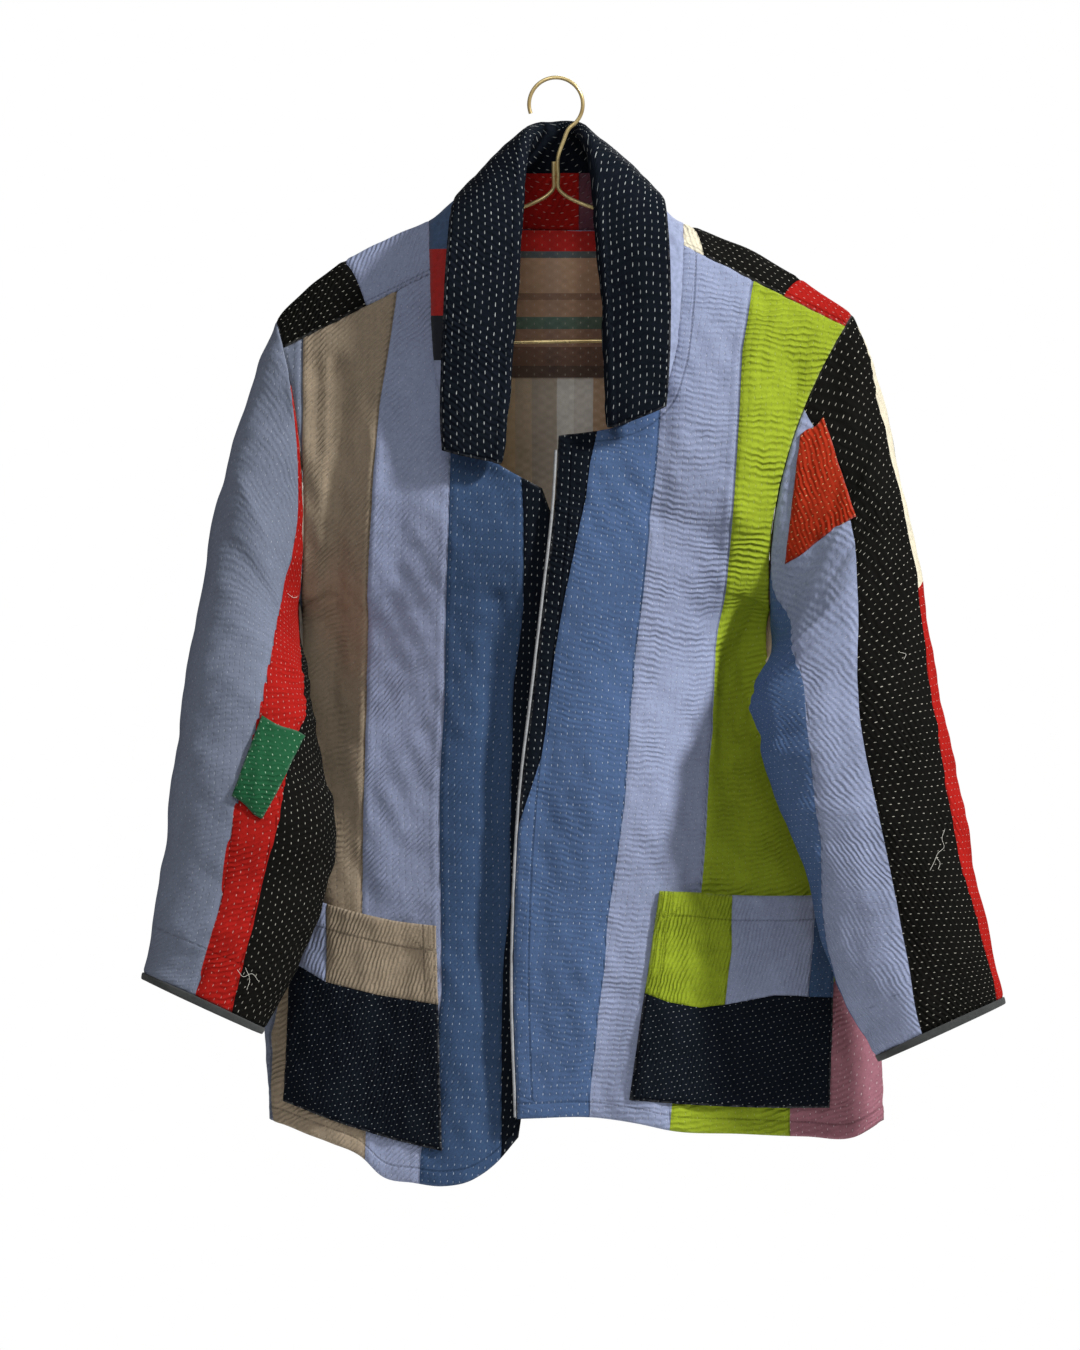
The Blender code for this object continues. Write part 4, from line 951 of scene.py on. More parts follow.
def striped_lining():
    """The woven lining: a brown plaid below the neck, and pale stripes under it."""
    existing = bpy.data.materials.get("striped_lining")
    if existing:
        return existing
    bench = Bench("striped_lining")
    x, _, z = bench.apart(bench.place())
    drop = bench.times(z, -1.0)
    plaid = bench.steps(
        bench.spread(drop, 0.120, 0.260),
        [
            (0, (0.46, 0.018, 0.014)), (0.12, (0.095, 0.115, 0.115)), (0.16, (0.42, 0.27, 0.17)),
            (0.36, (0.24, 0.145, 0.095)), (0.4, (0.36, 0.225, 0.145)), (0.5, (0.1, 0.15, 0.115)),
            (0.57, (0.3, 0.18, 0.12)), (0.67, (0.17, 0.1, 0.07)), (0.78, (0.105, 0.068, 0.052)),
            (0.85, (0.24, 0.15, 0.105)),
        ],
    )
    shade = bench.steps(
        bench.spread(x, -0.042, 0.044),
        [
            (0, (1, 0.95, 0.9)), (0.28, (1.3, 1.2, 1.1)), (0.42, (0.75, 0.82, 0.95)),
            (0.6, (1, 0.98, 0.98)), (0.75, (0.5, 0.46, 0.46)), (1, (0.75, 0.7, 0.7)),
        ],
        "B_SPLINE",
    )
    node = bench.nodes.new("ShaderNodeVectorMath")
    node.operation = "MULTIPLY"
    bench.put(node.inputs[0], plaid)
    bench.put(node.inputs[1], shade)
    plaid = node.outputs[0]
    wavy = bench.plus(x, bench.times(bench.noise(6.0, 1.0), 0.012))
    repeat = bench.calc("FRACT", bench.over(bench.plus(wavy, 0.476), 0.110))
    stripes = bench.steps(
        repeat,
        [
            (0, (0.56, 0.42, 0.26)), (0.1, (0.46, 0.37, 0.26)), (0.22, (0.37, 0.32, 0.26)),
            (0.4, (0.52, 0.5, 0.46)), (0.52, (0.44, 0.41, 0.37)), (0.66, (0.34, 0.23, 0.15)),
            (0.88, (0.54, 0.44, 0.31)),
        ],
    )
    colour = bench.mixed(bench.spread(drop, 0.2385, 0.2405), plaid, stripes)
    weave = bench.times(bench.wave(x, LINING_THREAD), bench.wave(z, LINING_THREAD))
    slub = bench.noise(160.0, 2.0)
    across = bench.over(bench.plus(x, 1.0), LINING_ROW)
    odd = bench.calc("PINGPONG", bench.calc("FLOOR", across), 1.0)
    along = bench.total(bench.over(z, LINING_STITCH), (bench.noise(11.0, 2.0), 2.4), (odd, 0.5))
    ripple = bench.wave(along, 1.0)
    beside = bench.centred(bench.calc("FRACT", across))
    ahead = bench.centred(bench.calc("FRACT", along))
    away = bench.round_spot(bench.times(beside, 12.0), bench.times(ahead, 7.0))
    stitch = bench.spread(away, 0.7, 1.1, 1.0, 0.0, smooth=True)
    # Painted light: the lining's colour is raised 1.25 to 1.65 times, in random patches, to make up for the
    # shade that it lies in inside the jacket
    light = bench.spread(bench.noise(8.0, 3.0), 0.3, 0.7, 1.25, 1.65)
    light = bench.total(light, (bench.centred(slub), 0.5), (weave, 0.05))
    colour = bench.mixed(bench.times(stitch, 0.35), bench.scaled(colour, light), (0.62, 0.56, 0.46))
    bench.raised(bench.total(bench.times(ripple, 0.22), (weave, 0.05), (slub, 0.15)), 0.001)
    return bench.finish(colour, 0.92, sheen=0.08)


def binding_tape():
    """The dark grey woven tape that binds the cuffs."""
    existing = bpy.data.materials.get("binding_tape")
    if existing:
        return existing
    bench = Bench("binding_tape")
    x, _, z = bench.apart(bench.place())
    rib = bench.wave(bench.plus(x, z), 0.0011)
    slub = bench.noise(300.0, 2.0)
    light = bench.spread(bench.noise(30.0, 3.0), 0.3, 0.7, 0.8, 1.15)
    light = bench.total(light, (rib, 0.10), (bench.centred(slub), 0.5))
    colour = bench.scaled((*bpy.context.scene.jacket_colours.binding,), light)
    bench.raised(bench.total(bench.times(rib, 0.07), (slub, 0.2)), 0.001)
    return bench.finish(colour, 0.88, sheen=0.1)


def edge_piping():
    """The pale grey piping on the left front's edge, a twill tape round a cord."""
    bench = Bench("edge_piping")
    _, y, z = bench.apart(bench.place())
    twill = bench.wave(bench.plus(y, z), 0.0012)
    slub = bench.noise(240.0, 2.0)
    light = bench.total(bench.spread(slub, 0.3, 0.7, 0.78, 1.15), (twill, 0.08))
    colour = bench.scaled((*bpy.context.scene.jacket_colours.piping,), light)
    bench.raised(bench.total(bench.times(twill, 0.06), (slub, 0.1)), 0.001)
    return bench.finish(colour, 0.85, sheen=0.1)


def brass_wire():
    """Drawn brass wire with light scratches and slightly dulled patches."""
    bench = Bench("brass_wire")
    tarnish = bench.spread(bench.noise(35.0, 4.0), 0.42, 0.68)
    scratches = bench.noise(420.0, 3.0)
    colour = bench.mixed(tarnish, (*bpy.context.scene.jacket_colours.brass,), (0.46, 0.31, 0.12))
    rough = bench.total(bench.spread(tarnish, 0.0, 1.0, 0.20, 0.34), (scratches, 0.08))
    bench.raised(bench.times(scratches, 0.02), 0.001)
    return bench.finish(colour, rough, metallic=0.6, specular=0.5)


def loose_cotton():
    """Pale cotton thread."""
    bench = Bench("loose_cotton")
    twist = bench.noise(900.0, 1.0)
    colour = bench.scaled((0.78, 0.76, 0.68), bench.spread(twist, 0.3, 0.7, 0.8, 1.1))
    bench.raised(bench.times(twist, 0.06), 0.001)
    return bench.finish(colour, 0.9, sheen=0.1)


def in_metres(pixels):
    """Points of the photograph as x and z in the frame."""
    pixels = np.asarray(pixels, float)
    return np.stack([(pixels[:, 0] - ORIGIN_PIXEL[0]) * PIXEL, (ORIGIN_PIXEL[1] - pixels[:, 1]) * PIXEL], -1)


def strips_between(value, seams, scale=1000.0):
    """Numbers the strips by where value lies among the seams, and how far it is from a seam, in mm.
    Every whole number is a seam, and the numbers between run evenly across a strip."""
    count = len(seams)
    first = np.clip(1 - (seams[0] - value) * scale / 80, 0.02, 1)
    strip = np.where(value < seams[0], first, 0.0)
    for k in range(count - 1):
        inside = (value >= seams[k]) & (value < seams[k + 1])
        width = np.maximum(seams[k + 1] - seams[k], 1e-6)
        strip = np.where(inside, k + 1 + (value - seams[k]) / width, strip)
    last = np.clip(count + (value - seams[-1]) * scale / 80, count, count + 0.98)
    strip = np.where(value >= seams[-1], last, strip)
    distance = np.min([np.abs(value - line) for line in seams], axis=0) * scale
    return strip, distance


def seam_across(points, line):
    """The x that a seam, given in pixels, has at the height of every point."""
    line = in_metres(line)
    return np.interp(-points[..., 2], -line[:, 1], line[:, 0])


def upright_strips(points, lines):
    """Strips whose seams run down the front view."""
    return strips_between(points[..., 0], [seam_across(points, line) for line in lines])


def edge_distances(points):
    """How far each point is from the first and last row, the first and last column and the nearest
    of these, in mm."""
    down = np.linalg.norm(np.diff(points, axis=0), axis=-1) * 1000
    along = np.linalg.norm(np.diff(points, axis=1), axis=-1) * 1000
    from_top = np.concatenate([np.zeros((1, points.shape[1])), np.cumsum(down, axis=0)])
    from_first = np.concatenate([np.zeros((points.shape[0], 1)), np.cumsum(along, axis=1)], axis=1)
    sides = (from_top, from_top[-1] - from_top, from_first, from_first[:, -1:] - from_first)
    return *sides, np.minimum.reduce(sides)


def waviness(points, length, seed):
    """A smooth uneven pattern between about -1 and 1, with waves about this long in metres."""
    chance = np.random.default_rng(seed)
    total = np.zeros(points.shape[:-1])
    for _ in range(10):
        way = unit(chance.normal(size=3))
        wave = length * chance.uniform(0.7, 1.5)
        total += np.sin(points @ way * 2 * math.pi / wave + chance.uniform(0, 2 * math.pi))
    return total / 3.2


def uneven(points, edge, margin, broad, fine, seed):
    """Cloth that isn't flat, as (height, wave length): broad waves that fade towards the edge within
    the margin, in mm, and fine ones that don't."""
    lift = broad[0] * waviness(points, broad[1], seed) * ease(edge / margin)
    return lift + fine[0] * waviness(points, fine[1], seed + 1)


def seam_valley(distance, depth):
    """Cloth dips at a seam and swells a little beside it. Distance is in mm."""
    return -depth * np.exp(-((distance / 1.5) ** 2)) + 0.30 * depth * np.exp(-(((distance - 4.2) / 2.2) ** 2))


def pressed(edge, depth, width=1.6):
    """Cloth is thinner at its edge. The distance from it and the width are in mm."""
    return -depth * np.exp(-((edge / width) ** 2))


def stitch_line(lines):
    """The nearest of several lines of machine stitching: how far away it is, and how far along it is."""
    away = np.stack([np.broadcast_to(line[0], lines[0][0].shape) for line in lines])
    along = np.stack([np.broadcast_to(line[1], lines[0][0].shape) for line in lines])
    nearest = np.argmin(np.abs(away), axis=0)[None]
    return np.take_along_axis(away, nearest, 0)[0], np.take_along_axis(along, nearest, 0)[0]


def lay_cloth(node, points, normal, lift, values, stitches, materials, closed=False, thickness=None):
    """One piece of cloth in its solid's place: a grid of points that is lifted along its normals.
    values and stitches are kept on its corners."""
    name, slot, width, length, area = PIECES[node]
    points = points + normal * lift[..., None]
    rows, columns = points.shape[:2]
    facing = np.cross(np.gradient(points, axis=1), np.gradient(points, axis=0))
    bm = bmesh.new()
    bmesh.ops.create_grid(bm, x_segments=columns - 1, y_segments=rows - 1, size=0.5)
    if np.sum(facing * normal) < 0:
        bmesh.ops.reverse_faces(bm, faces=bm.faces[:])
    mesh = bpy.data.meshes.new(name)
    bm.to_mesh(mesh)
    bm.free()
    co = np.empty(len(mesh.vertices) * 3)
    mesh.vertices.foreach_get("co", co)
    co = co.reshape(-1, 3)
    column = np.rint((co[:, 0] + 0.5) * (columns - 1)).astype(int)
    row = np.rint((co[:, 1] + 0.5) * (rows - 1)).astype(int)
    place = row * columns + column
    mesh.vertices.foreach_set("co", np.ascontiguousarray(points.reshape(-1, 3)[place]).ravel())
    corner = np.empty(len(mesh.loops), dtype=np.int64)
    mesh.loops.foreach_get("vertex_index", corner)
    at = place[corner]
    for key, value in values.items():
        layer = mesh.attributes.new(key, "FLOAT", "CORNER")
        value = np.broadcast_to(value, (rows, columns)).reshape(-1)
        layer.data.foreach_set("value", value[at].astype(np.float32))
    layer = mesh.uv_layers.new(name="Stitch")
    uv = np.stack([share.reshape(-1)[at] for share in stitches], -1)
    layer.data.foreach_set("uv", uv.astype(np.float32).ravel())
    if closed:
        bm = bmesh.new()
        bm.from_mesh(mesh)
        bmesh.ops.remove_doubles(bm, verts=bm.verts[:], dist=1e-6)
        bm.to_mesh(mesh)
        bm.free()
    mesh.shade_smooth()
    for material in materials:
        mesh.materials.append(material)
    piece = bpy.data.objects.new(name, mesh)
    bpy.context.collection.objects.link(piece)
    wall = piece.modifiers.new("thickness", "SOLIDIFY")
    wall.thickness = thickness or bpy.context.scene.jacket_sizes.thickness
    wall.offset = -1
    wall.material_offset = 1 if len(materials) > 1 else 0
    wall.material_offset_rim = 0
    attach(piece, "root")
    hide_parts(node)


def grid_shares(rows, columns):
    """The share down and the share across of every point of a grid."""
    return np.meshgrid(np.linspace(0, 1, rows + 1), np.linspace(0, 1, columns + 1), indexing="ij")


def fine_steps(count, crowd=0.5):
    """Shares from 0 to 1, closer together where the cloth turns away at 1."""
    even = np.linspace(0, 1, count + 1)
    return (1 - crowd) * even + crowd * np.sin(math.pi / 2 * even)


def stitches_down(points, guide, from_top):
    """Stitch rows that run down beside a guide seam."""
    sizes = bpy.context.scene.jacket_sizes
    rows = (points[..., 0] - seam_across(points, guide)) / sizes.row_gap
    return rows + ROWS_AHEAD, from_top / 1000 / sizes.stitch_gap


def lay_front(side, node, seams, fabrics, folds, edge_stitched):
    """One front: smooth rows down it, with its strips, its folds, its hem and its machine stitching."""
    sizes = bpy.context.scene.jacket_sizes
    down = np.concatenate(
        [np.linspace(0, CORNER, 88), np.linspace(CORNER, UNDERARM, 31)[1:], np.linspace(UNDERARM, 1, 216)[1:]]
    )
    points = side.front(fine_steps(sizes.front_columns)[None, :], down[:, None])
    normal = normals_of(points, np.array([0, -1, 0]))
    strip, seam = upright_strips(points, seams)
    from_top, from_hem, from_front, from_side, edge = edge_distances(points)
    hem_mm = sizes.hem * 1000
    lines = [(from_hem - hem_mm, from_front)]
    if edge_stitched:
        lines.append((np.where(from_hem > hem_mm, from_front - hem_mm, FAR), from_hem))
    topstitch, run = stitch_line(lines)
    lift = folds_at(points[..., 0], points[..., 2], folds) * sizes.fold_strength * ease(edge / 18)
    lift = lift + uneven(points, edge, 12, (0.0011, 0.055), (0.00045, 0.020), 3)
    lift = lift + seam_valley(seam, sizes.seam_depth) + pressed(edge, sizes.seam_depth)
    lift = lift + 0.0005 * ease((hem_mm - from_hem) / 2)
    lift = lift + 0.0004 * ease((hem_mm - from_front) / 2) * (down > CORNER)[:, None]
    ripple_hem = 0.0012 * np.sin(from_front / 13 + 1.3 * np.sin(from_front / 31)) * np.exp(-from_hem / 22)
    lift = lift + ripple_hem * ease(from_front / 20) * ease(from_side / 20)
    values = {"strip": strip, "seam": seam, "band": -1.0, "edge": edge, "topstitch": topstitch, "run": run}
    materials = [quilted(node + "_quilt", fabrics), striped_lining()]
    lay_cloth(node, points, normal, lift, values, stitches_down(points, seams[2], from_top), materials)


class JACKET_OT_fronts(bpy.types.Operator):
    """Makes both fronts"""

    bl_idname = "jacket.fronts"
    bl_label = "Fronts"

    def execute(self, context):
        fabrics = ("slate", "khaki", "lilac", "deep_blue", "navy")
        lay_front(RIGHT, "front_right", FRONT_RIGHT_SEAMS, fabrics, FINE_FOLDS_RIGHT, False)
        fabrics = ("navy", "blue", "lilac", "green", "pink")
        lay_front(LEFT, "front_left", FRONT_LEFT_SEAMS, fabrics, FINE_FOLDS_LEFT, True)
        return {"FINISHED"}


class JACKET_OT_back(bpy.types.Operator):
    """Makes the back, with its lining inside"""

    bl_idname = "jacket.back"
    bl_label = "Back"

    def execute(self, context):
        sizes = context.scene.jacket_sizes
        down = np.concatenate([np.linspace(0, UNDERARM, 86), np.linspace(UNDERARM, 1, 160)[1:]])
        half = fine_steps(78, 0.7)
        across = np.concatenate([-half[::-1], half[1:]])
        points = back(across[None, :], down[:, None])
        behind_sleeve = np.exp(-(((points[..., 2] + 0.44) / 0.045) ** 4))
        points[..., 0] += 0.008 * across * np.abs(across) ** 8 * behind_sleeve
        armhole = ease(down / 0.04) * (1 - ease((down - 0.30) / 0.06))
        points[..., 0] += 0.0020 * across**5 * armhole[:, None]
        normal = normals_of(points, np.array([0, 1, 0]))
        strip, seam = upright_strips(points, BACK_SEAMS)
        from_top, from_hem, from_first, _, edge = edge_distances(points)
        hem_mm = sizes.hem * 1000
        lift = folds_at(points[..., 0], points[..., 2], FINE_FOLDS_BACK)
        lift = lift * sizes.fold_strength * ease(edge / 18)
        lift = lift + uneven(points, edge, 14, (0.0012, 0.070), (0.0004, 0.022), 7)
        lift = lift + seam_valley(seam, sizes.seam_depth) + pressed(edge, sizes.seam_depth)
        lift = lift + 0.0005 * ease((hem_mm - from_hem) / 2)
        values = {"strip": strip, "seam": seam, "band": -1.0, "edge": edge, "topstitch": from_hem - hem_mm}
        values["run"] = from_first
        fabrics = ("slate", "khaki", "lilac", "deep_blue", "navy", "lilac", "green", "blue", "pink")
        materials = [quilted("back_quilt", fabrics), striped_lining()]
        stitches = stitches_down(points, BACK_SEAMS[4], from_top)
        lay_cloth("back", points, normal, lift, values, stitches, materials)
        return {"FINISHED"}


def lay_yoke(side, node, seams, fabrics):
    """The strip over one shoulder, in blocks. seams are shares across, at its front, ridge and back."""
    sizes = bpy.context.scene.jacket_sizes
    rows, columns = 44, 66
    points = yoke_points(side, rows, columns)
    normal = normals_of(points, np.array([0, 0, 1]))
    q, share = grid_shares(rows, columns)
    strip, seam = strips_between(share, [np.interp(q, (0, 0.5, 1), line) for line in seams], scale=130.0)
    from_front, _, from_neck, _, edge = edge_distances(points)
    lift = 0.0006 * waviness(points, 0.030, 11) * ease(edge / 8)
    lift = lift + seam_valley(seam, sizes.seam_depth) + pressed(edge, sizes.seam_depth)
    stitches = (from_front / 1000 / sizes.row_gap + FEW_AHEAD, from_neck / 1000 / sizes.stitch_gap)
    values = {"strip": strip, "seam": seam, "band": -1.0, "edge": edge, "topstitch": from_front - 3.5}
    values["run"] = from_neck
    materials = [quilted(node + "_quilt", fabrics), striped_lining()]
    lay_cloth(node, points, normal, lift, values, stitches, materials)


class JACKET_OT_yokes(bpy.types.Operator):
    """Makes the two shoulder yokes"""

    bl_idname = "jacket.yokes"
    bl_label = "Shoulder yokes"

    def execute(self, context):
        lay_yoke(RIGHT, "yoke_right", ((0.44, 0.545, 0.56),), ("lilac", "black"))
        lay_yoke(LEFT, "yoke_left", ((0.13, 0.06, 0.07), (0.62, 0.69, 0.70)), ("cream", "black", "red"))
        return {"FINISHED"}


def sleeve_surface(side, s, turn):
    """The sleeve's outer points with the creases that its solid has, and its outward normals."""
    points = side.tube(s, turn)
    centre = points[:, :-1].mean(axis=1, keepdims=True)
    spoke = points - centre
    points = points + unit(spoke) * sleeve_folds(side, s, turn)[..., None]
    around = np.roll(points[:, :-1], -1, axis=1) - np.roll(points[:, :-1], 1, axis=1)
    around = np.concatenate([around, around[:, :1]], axis=1)
    normal = unit(np.cross(around, np.gradient(points, axis=0)))
    if np.sum(normal * spoke) < 0:
        normal = -normal
    return points, normal


def binding_start(side, turn):
    """The share down the sleeve at which its binding begins, so that the tape is evenly wide."""
    outer, inner = (0.0194, 0.0080) if side.sign < 0 else (0.0095, 0.0041)
    return 1 - inner - (outer - inner) * (1 + np.cos(2 * math.pi * turn)) / 2


def even_line(s, at_s, at_turn):
    """A seam's turn at each share of the sleeve, without the kinks of its few points."""
    order = np.argsort(at_s)
    even = np.linspace(0, 1, 240)
    turns = np.interp(even, at_s[order], at_turn[order])
    for _ in range(60):
        turns[1:-1] = (turns[:-2] + 2 * turns[1:-1] + turns[2:]) / 4
    return np.interp(s, even, turns)


def fine_sleeve_folds(side, s, turn):
    lift = np.zeros(np.broadcast(s, turn).shape)
    for at_s, at_turn, half_s, half_turn, rise, slant in FINE_FOLDS_SLEEVE:
        away = (turn - at_turn + 0.5) % 1 - 0.5
        slanted = s - at_s - side.sign * 0.3 * slant * away
        lift = lift + rise * np.exp(-((slanted / half_s) ** 2) - (away / half_turn) ** 2)
    return lift


def lay_sleeve(side, node, seams, far_seams, fabrics, seed, fabrics_low=None, low_from=0.0):
    """One sleeve as a closed tube. Its stitch rows run down it, or round it where its strips change
    fabric at low_from, in mm from the top."""
    sizes = bpy.context.scene.jacket_sizes
    s, turn = grid_shares(224, 112)
    s = s * (binding_start(side, turn) + 0.001)
    points, normal = sleeve_surface(side, s, turn)
    lines = []
    for line in seams:
        line = in_metres(line)
        lines.append(even_line(s, *side.tube_share(line[:, 0], line[:, 1])))
    for line in far_seams:
        line = np.array(line)
        lines.append(np.interp(s, line[:, 0], line[:, 1]))
    from_top, from_cuff, from_first, _, _ = edge_distances(points)
    girth = from_first[:, -1:]
    strip, seam_turn = strips_between(turn, lines, scale=1.0)
    seam = seam_turn * girth
    edge = np.minimum(from_top, from_cuff)
    lift = fine_sleeve_folds(side, s, turn) * sizes.fold_strength * ease(edge / 15)
    lift = lift + uneven(points, edge, 15, (0.0012, 0.060), (0.0004, 0.021), seed)
    lift = lift + seam_valley(seam, sizes.seam_depth) + pressed(edge, sizes.seam_depth)
    length = from_top.mean(axis=1)[:, None] / 1000 * np.ones_like(turn)
    if fabrics_low:
        around = round(girth.mean() / 1000 / sizes.stitch_gap)
        stitches = (length / sizes.row_gap + ROWS_AHEAD, turn * around)
    else:
        around = 2 * round(0.5 * girth.mean() / 1000 / sizes.row_gap)
        stitches = (turn * around, length / sizes.stitch_gap + ROWS_AHEAD)
    values = {"strip": strip, "seam": seam, "band": from_top - low_from, "edge": edge}
    values["topstitch"] = np.abs(from_cuff - 38.0)
    values["run"] = from_first
    materials = [quilted(node + "_quilt", fabrics, fabrics_low), striped_lining()]
    lay_cloth(node, points, normal, lift, values, stitches, materials, closed=True)


class JACKET_OT_sleeves(bpy.types.Operator):
    """Makes the two sleeves"""

    bl_idname = "jacket.sleeves"
    bl_label = "Sleeves"

    def execute(self, context):
        fabrics = ("slate", "red", "black", "khaki", "lilac", "slate")
        lay_sleeve(RIGHT, "sleeve_right", SLEEVE_RIGHT_SEAMS, SLEEVE_RIGHT_FAR_SEAMS, fabrics, 21)
        middle = ("black", "lilac", "blue", "khaki", "navy")
        fabrics, low = (("cream", *middle, "cream"), ("red", *middle, "red"))
        lay_sleeve(LEFT, "sleeve_left", SLEEVE_LEFT_SEAMS, SLEEVE_LEFT_FAR_SEAMS, fabrics, 31, low, 230.0)
        return {"FINISHED"}


def lay_cuff(side, node):
    """The tape bound round one cuff: full over its edge, and rounded at its two sides."""
    down, turn = grid_shares(10, 112)
    s = 1 - (1 - down) * (1 - binding_start(side, turn))
    points, normal = sleeve_surface(side, s, turn)
    lift = 0.0007 * np.sqrt(np.clip(1 - (2 * down - 1) ** 4, 0, 1)) + 0.0003 * waviness(points, 0.018, 41)
    stitches = (s * 100, turn * 100)
    lay_cloth(node, points, normal, lift, {"edge": 0.0}, stitches, [binding_tape()], True, BINDING)


class JACKET_OT_cuffs(bpy.types.Operator):
    """Binds the two cuffs with dark tape"""

    bl_idname = "jacket.cuffs"
    bl_label = "Cuff bindings"

    def execute(self, context):
        lay_cuff(RIGHT, "cuff_right")
        lay_cuff(LEFT, "cuff_left")
        return {"FINISHED"}


def lay_pocket(side, node, corners, bow, seams, navy_from, fabrics, side_lines):
    """A patch pocket on the front: its own strips above, and navy below a slanting seam.
    side_lines are how far its lines of stitching are from its inner side, in mm."""
    sizes = bpy.context.scene.jacket_sizes
    rows, columns = 100, 90
    grid = between(corners, rows, columns, bow)
    across, v = side.front_share(grid[..., 0], grid[..., 1])
    on_front = side.front(across, v)
    normal = normals_of(on_front, np.array([0, -1, 0]))
    down, share = grid_shares(rows, columns)
    open_mouth = (1 - down) ** 2 * np.sin(math.pi * share)
    points = on_front + normal * (POCKET_GAP + CHANNEL_RISE + CLOTH + 0.0025 * open_mouth[..., None])
    strip, seam = upright_strips(points, seams)
    line = in_metres(navy_from)
    order = np.argsort(line[:, 0])
    band = (np.interp(points[..., 0], line[order, 0], line[order, 1]) - points[..., 2]) * 1000
    seam = np.where(band < 0, np.minimum(seam, np.abs(band)), np.abs(band))
    from_top, from_bottom, from_inner, from_outer, edge = edge_distances(points)
    lines = [(from_top - 20.0, from_inner)]
    for distance in side_lines:
        lines.append((np.where(band < 0, from_inner - distance, FAR), from_top))
    lines += [(from_bottom - 2.2, from_inner), (from_inner - 2.2, from_top), (from_outer - 2.2, from_top)]
    topstitch, run = stitch_line(lines)
    lift = uneven(points, edge, 12, (0.0010, 0.040), (0.0004, 0.018), 51)
    lift = lift + seam_valley(seam, sizes.seam_depth * 0.7) + pressed(edge, 0.0012, 1.8)
    lift = lift + 0.0005 * (from_top < 20)
    x, z = points[..., 0], points[..., 2]
    rows_apart = sizes.row_gap * 0.86
    slanted = -z / rows_apart + 0.25 * x / sizes.row_gap
    stitches = (slanted + FEW_AHEAD, x / (sizes.stitch_gap * 0.72) + FEW_AHEAD)
    values = {"strip": strip, "seam": seam, "band": band, "edge": edge, "topstitch": topstitch, "run": run}
    quilt = quilted(node + "_quilt", fabrics, ("navy",) * len(fabrics), (0.0015, 0.0006))
    lay_cloth(node, points, normal, lift, values, stitches, [quilt, striped_lining()])


class JACKET_OT_pockets(bpy.types.Operator):
    """Makes the two patch pockets"""

    bl_idname = "jacket.pockets"
    bl_label = "Patch pockets"

    def execute(self, context):
        seams, navy_from = POCKET_RIGHT_SEAMS
        lay_pocket(RIGHT, "pocket_right", POCKET_RIGHT, 0.004, seams, navy_from, ("lilac", "khaki"), (11.0,))
        seams, navy_from = POCKET_LEFT_SEAMS
        fabrics = ("green", "lilac", "deep_blue")
        lay_pocket(LEFT, "pocket_left", POCKET_LEFT, 0.002, seams, navy_from, fabrics, (11.0, 7.0))
        return {"FINISHED"}


def spokes(side, points, s):
    """The directions from the sleeve's middle out to points on its surface."""
    ox, oz, ix, iz, y, _ = np.moveaxis(side.ring(s), -1, 0)
    return unit(points - np.stack([(ox + ix) / 2, y, (oz + iz) / 2], -1))


def lay_sleeve_patch(side, node, corners, gap, fabric, slant):
    """A small patch sewn on a sleeve, with its edges pressed down by the stitches."""
    sizes = bpy.context.scene.jacket_sizes
    rows, columns = 50, 40
    grid = between(corners, rows, columns)
    down, share = grid_shares(rows, columns)
    grid[..., 1] += 0.0010 * np.sin(share * math.pi * 2.3) * (1 - 2 * down)
    s, turn = side.tube_share(grid[..., 0], grid[..., 1])
    on_sleeve = side.tube(s, turn)
    spoke = spokes(side, on_sleeve, s)
    raised = sleeve_folds(side, s, turn) + gap + CHANNEL_RISE + APPLIQUE
    points = on_sleeve + spoke * raised[..., None]
    _, _, from_inner, _, edge = edge_distances(points)
    lift = 0.0005 * waviness(points, 0.014, 61) + pressed(edge, 0.0007, 1.4)
    x, z = points[..., 0], points[..., 2]
    stitches = (
        (x * math.cos(slant) + z * math.sin(slant)) / sizes.row_gap + ROWS_AHEAD,
        (z * math.cos(slant) - x * math.sin(slant)) / (sizes.stitch_gap * 0.85) + ROWS_AHEAD,
    )
    values = {"strip": 0.5, "seam": 9.0, "band": -1.0, "edge": edge, "topstitch": 9.0, "run": from_inner}
    quilt = quilted(node + "_quilt", (fabric,))
    lay_cloth(node, points, spoke, lift, values, stitches, [quilt], thickness=0.0011)


class JACKET_OT_sleeve_patches(bpy.types.Operator):
    """Sews the green and the orange patch on the sleeves"""

    bl_idname = "jacket.sleeve_patches"
    bl_label = "Sleeve patches"

    def execute(self, context):
        lay_sleeve_patch(RIGHT, "patch_green", PATCH_GREEN, GREEN_PATCH_GAP, "emerald", 0.35)
        lay_sleeve_patch(LEFT, "patch_orange", PATCH_ORANGE, ORANGE_PATCH_GAP, "orange", -0.9)
        return {"FINISHED"}


def fine_neckline():
    """The neck seam at the finer grid's steps: its points and their shares of its length."""
    down = np.linspace(NECK_END, 0, 200)
    nape = back(np.linspace(-1, 1, 2400), 0.0)
    parts = [
        (even_steps(RIGHT.inner_line(down), 104), 0.0, 0.35),
        (even_steps(yoke_points(RIGHT, 40, 8)[:, 0], 14), 0.35, 0.40),
        (even_steps(nape[np.abs(nape[:, 0]) <= NECK_HALF], 84), 0.40, 0.60),
        (even_steps(yoke_points(LEFT, 40, 8)[::-1, 0], 14), 0.60, 0.65),
        (even_steps(LEFT.inner_line(down[::-1]), 104), 0.65, 1.0),
    ]
    line = np.concatenate([points[:-1] for points, _, _ in parts] + [parts[-1][0][-1:]])
    shares = [np.linspace(first, last, len(points))[:-1] for points, first, last in parts]
    return line, np.concatenate(shares + [[1.0]])


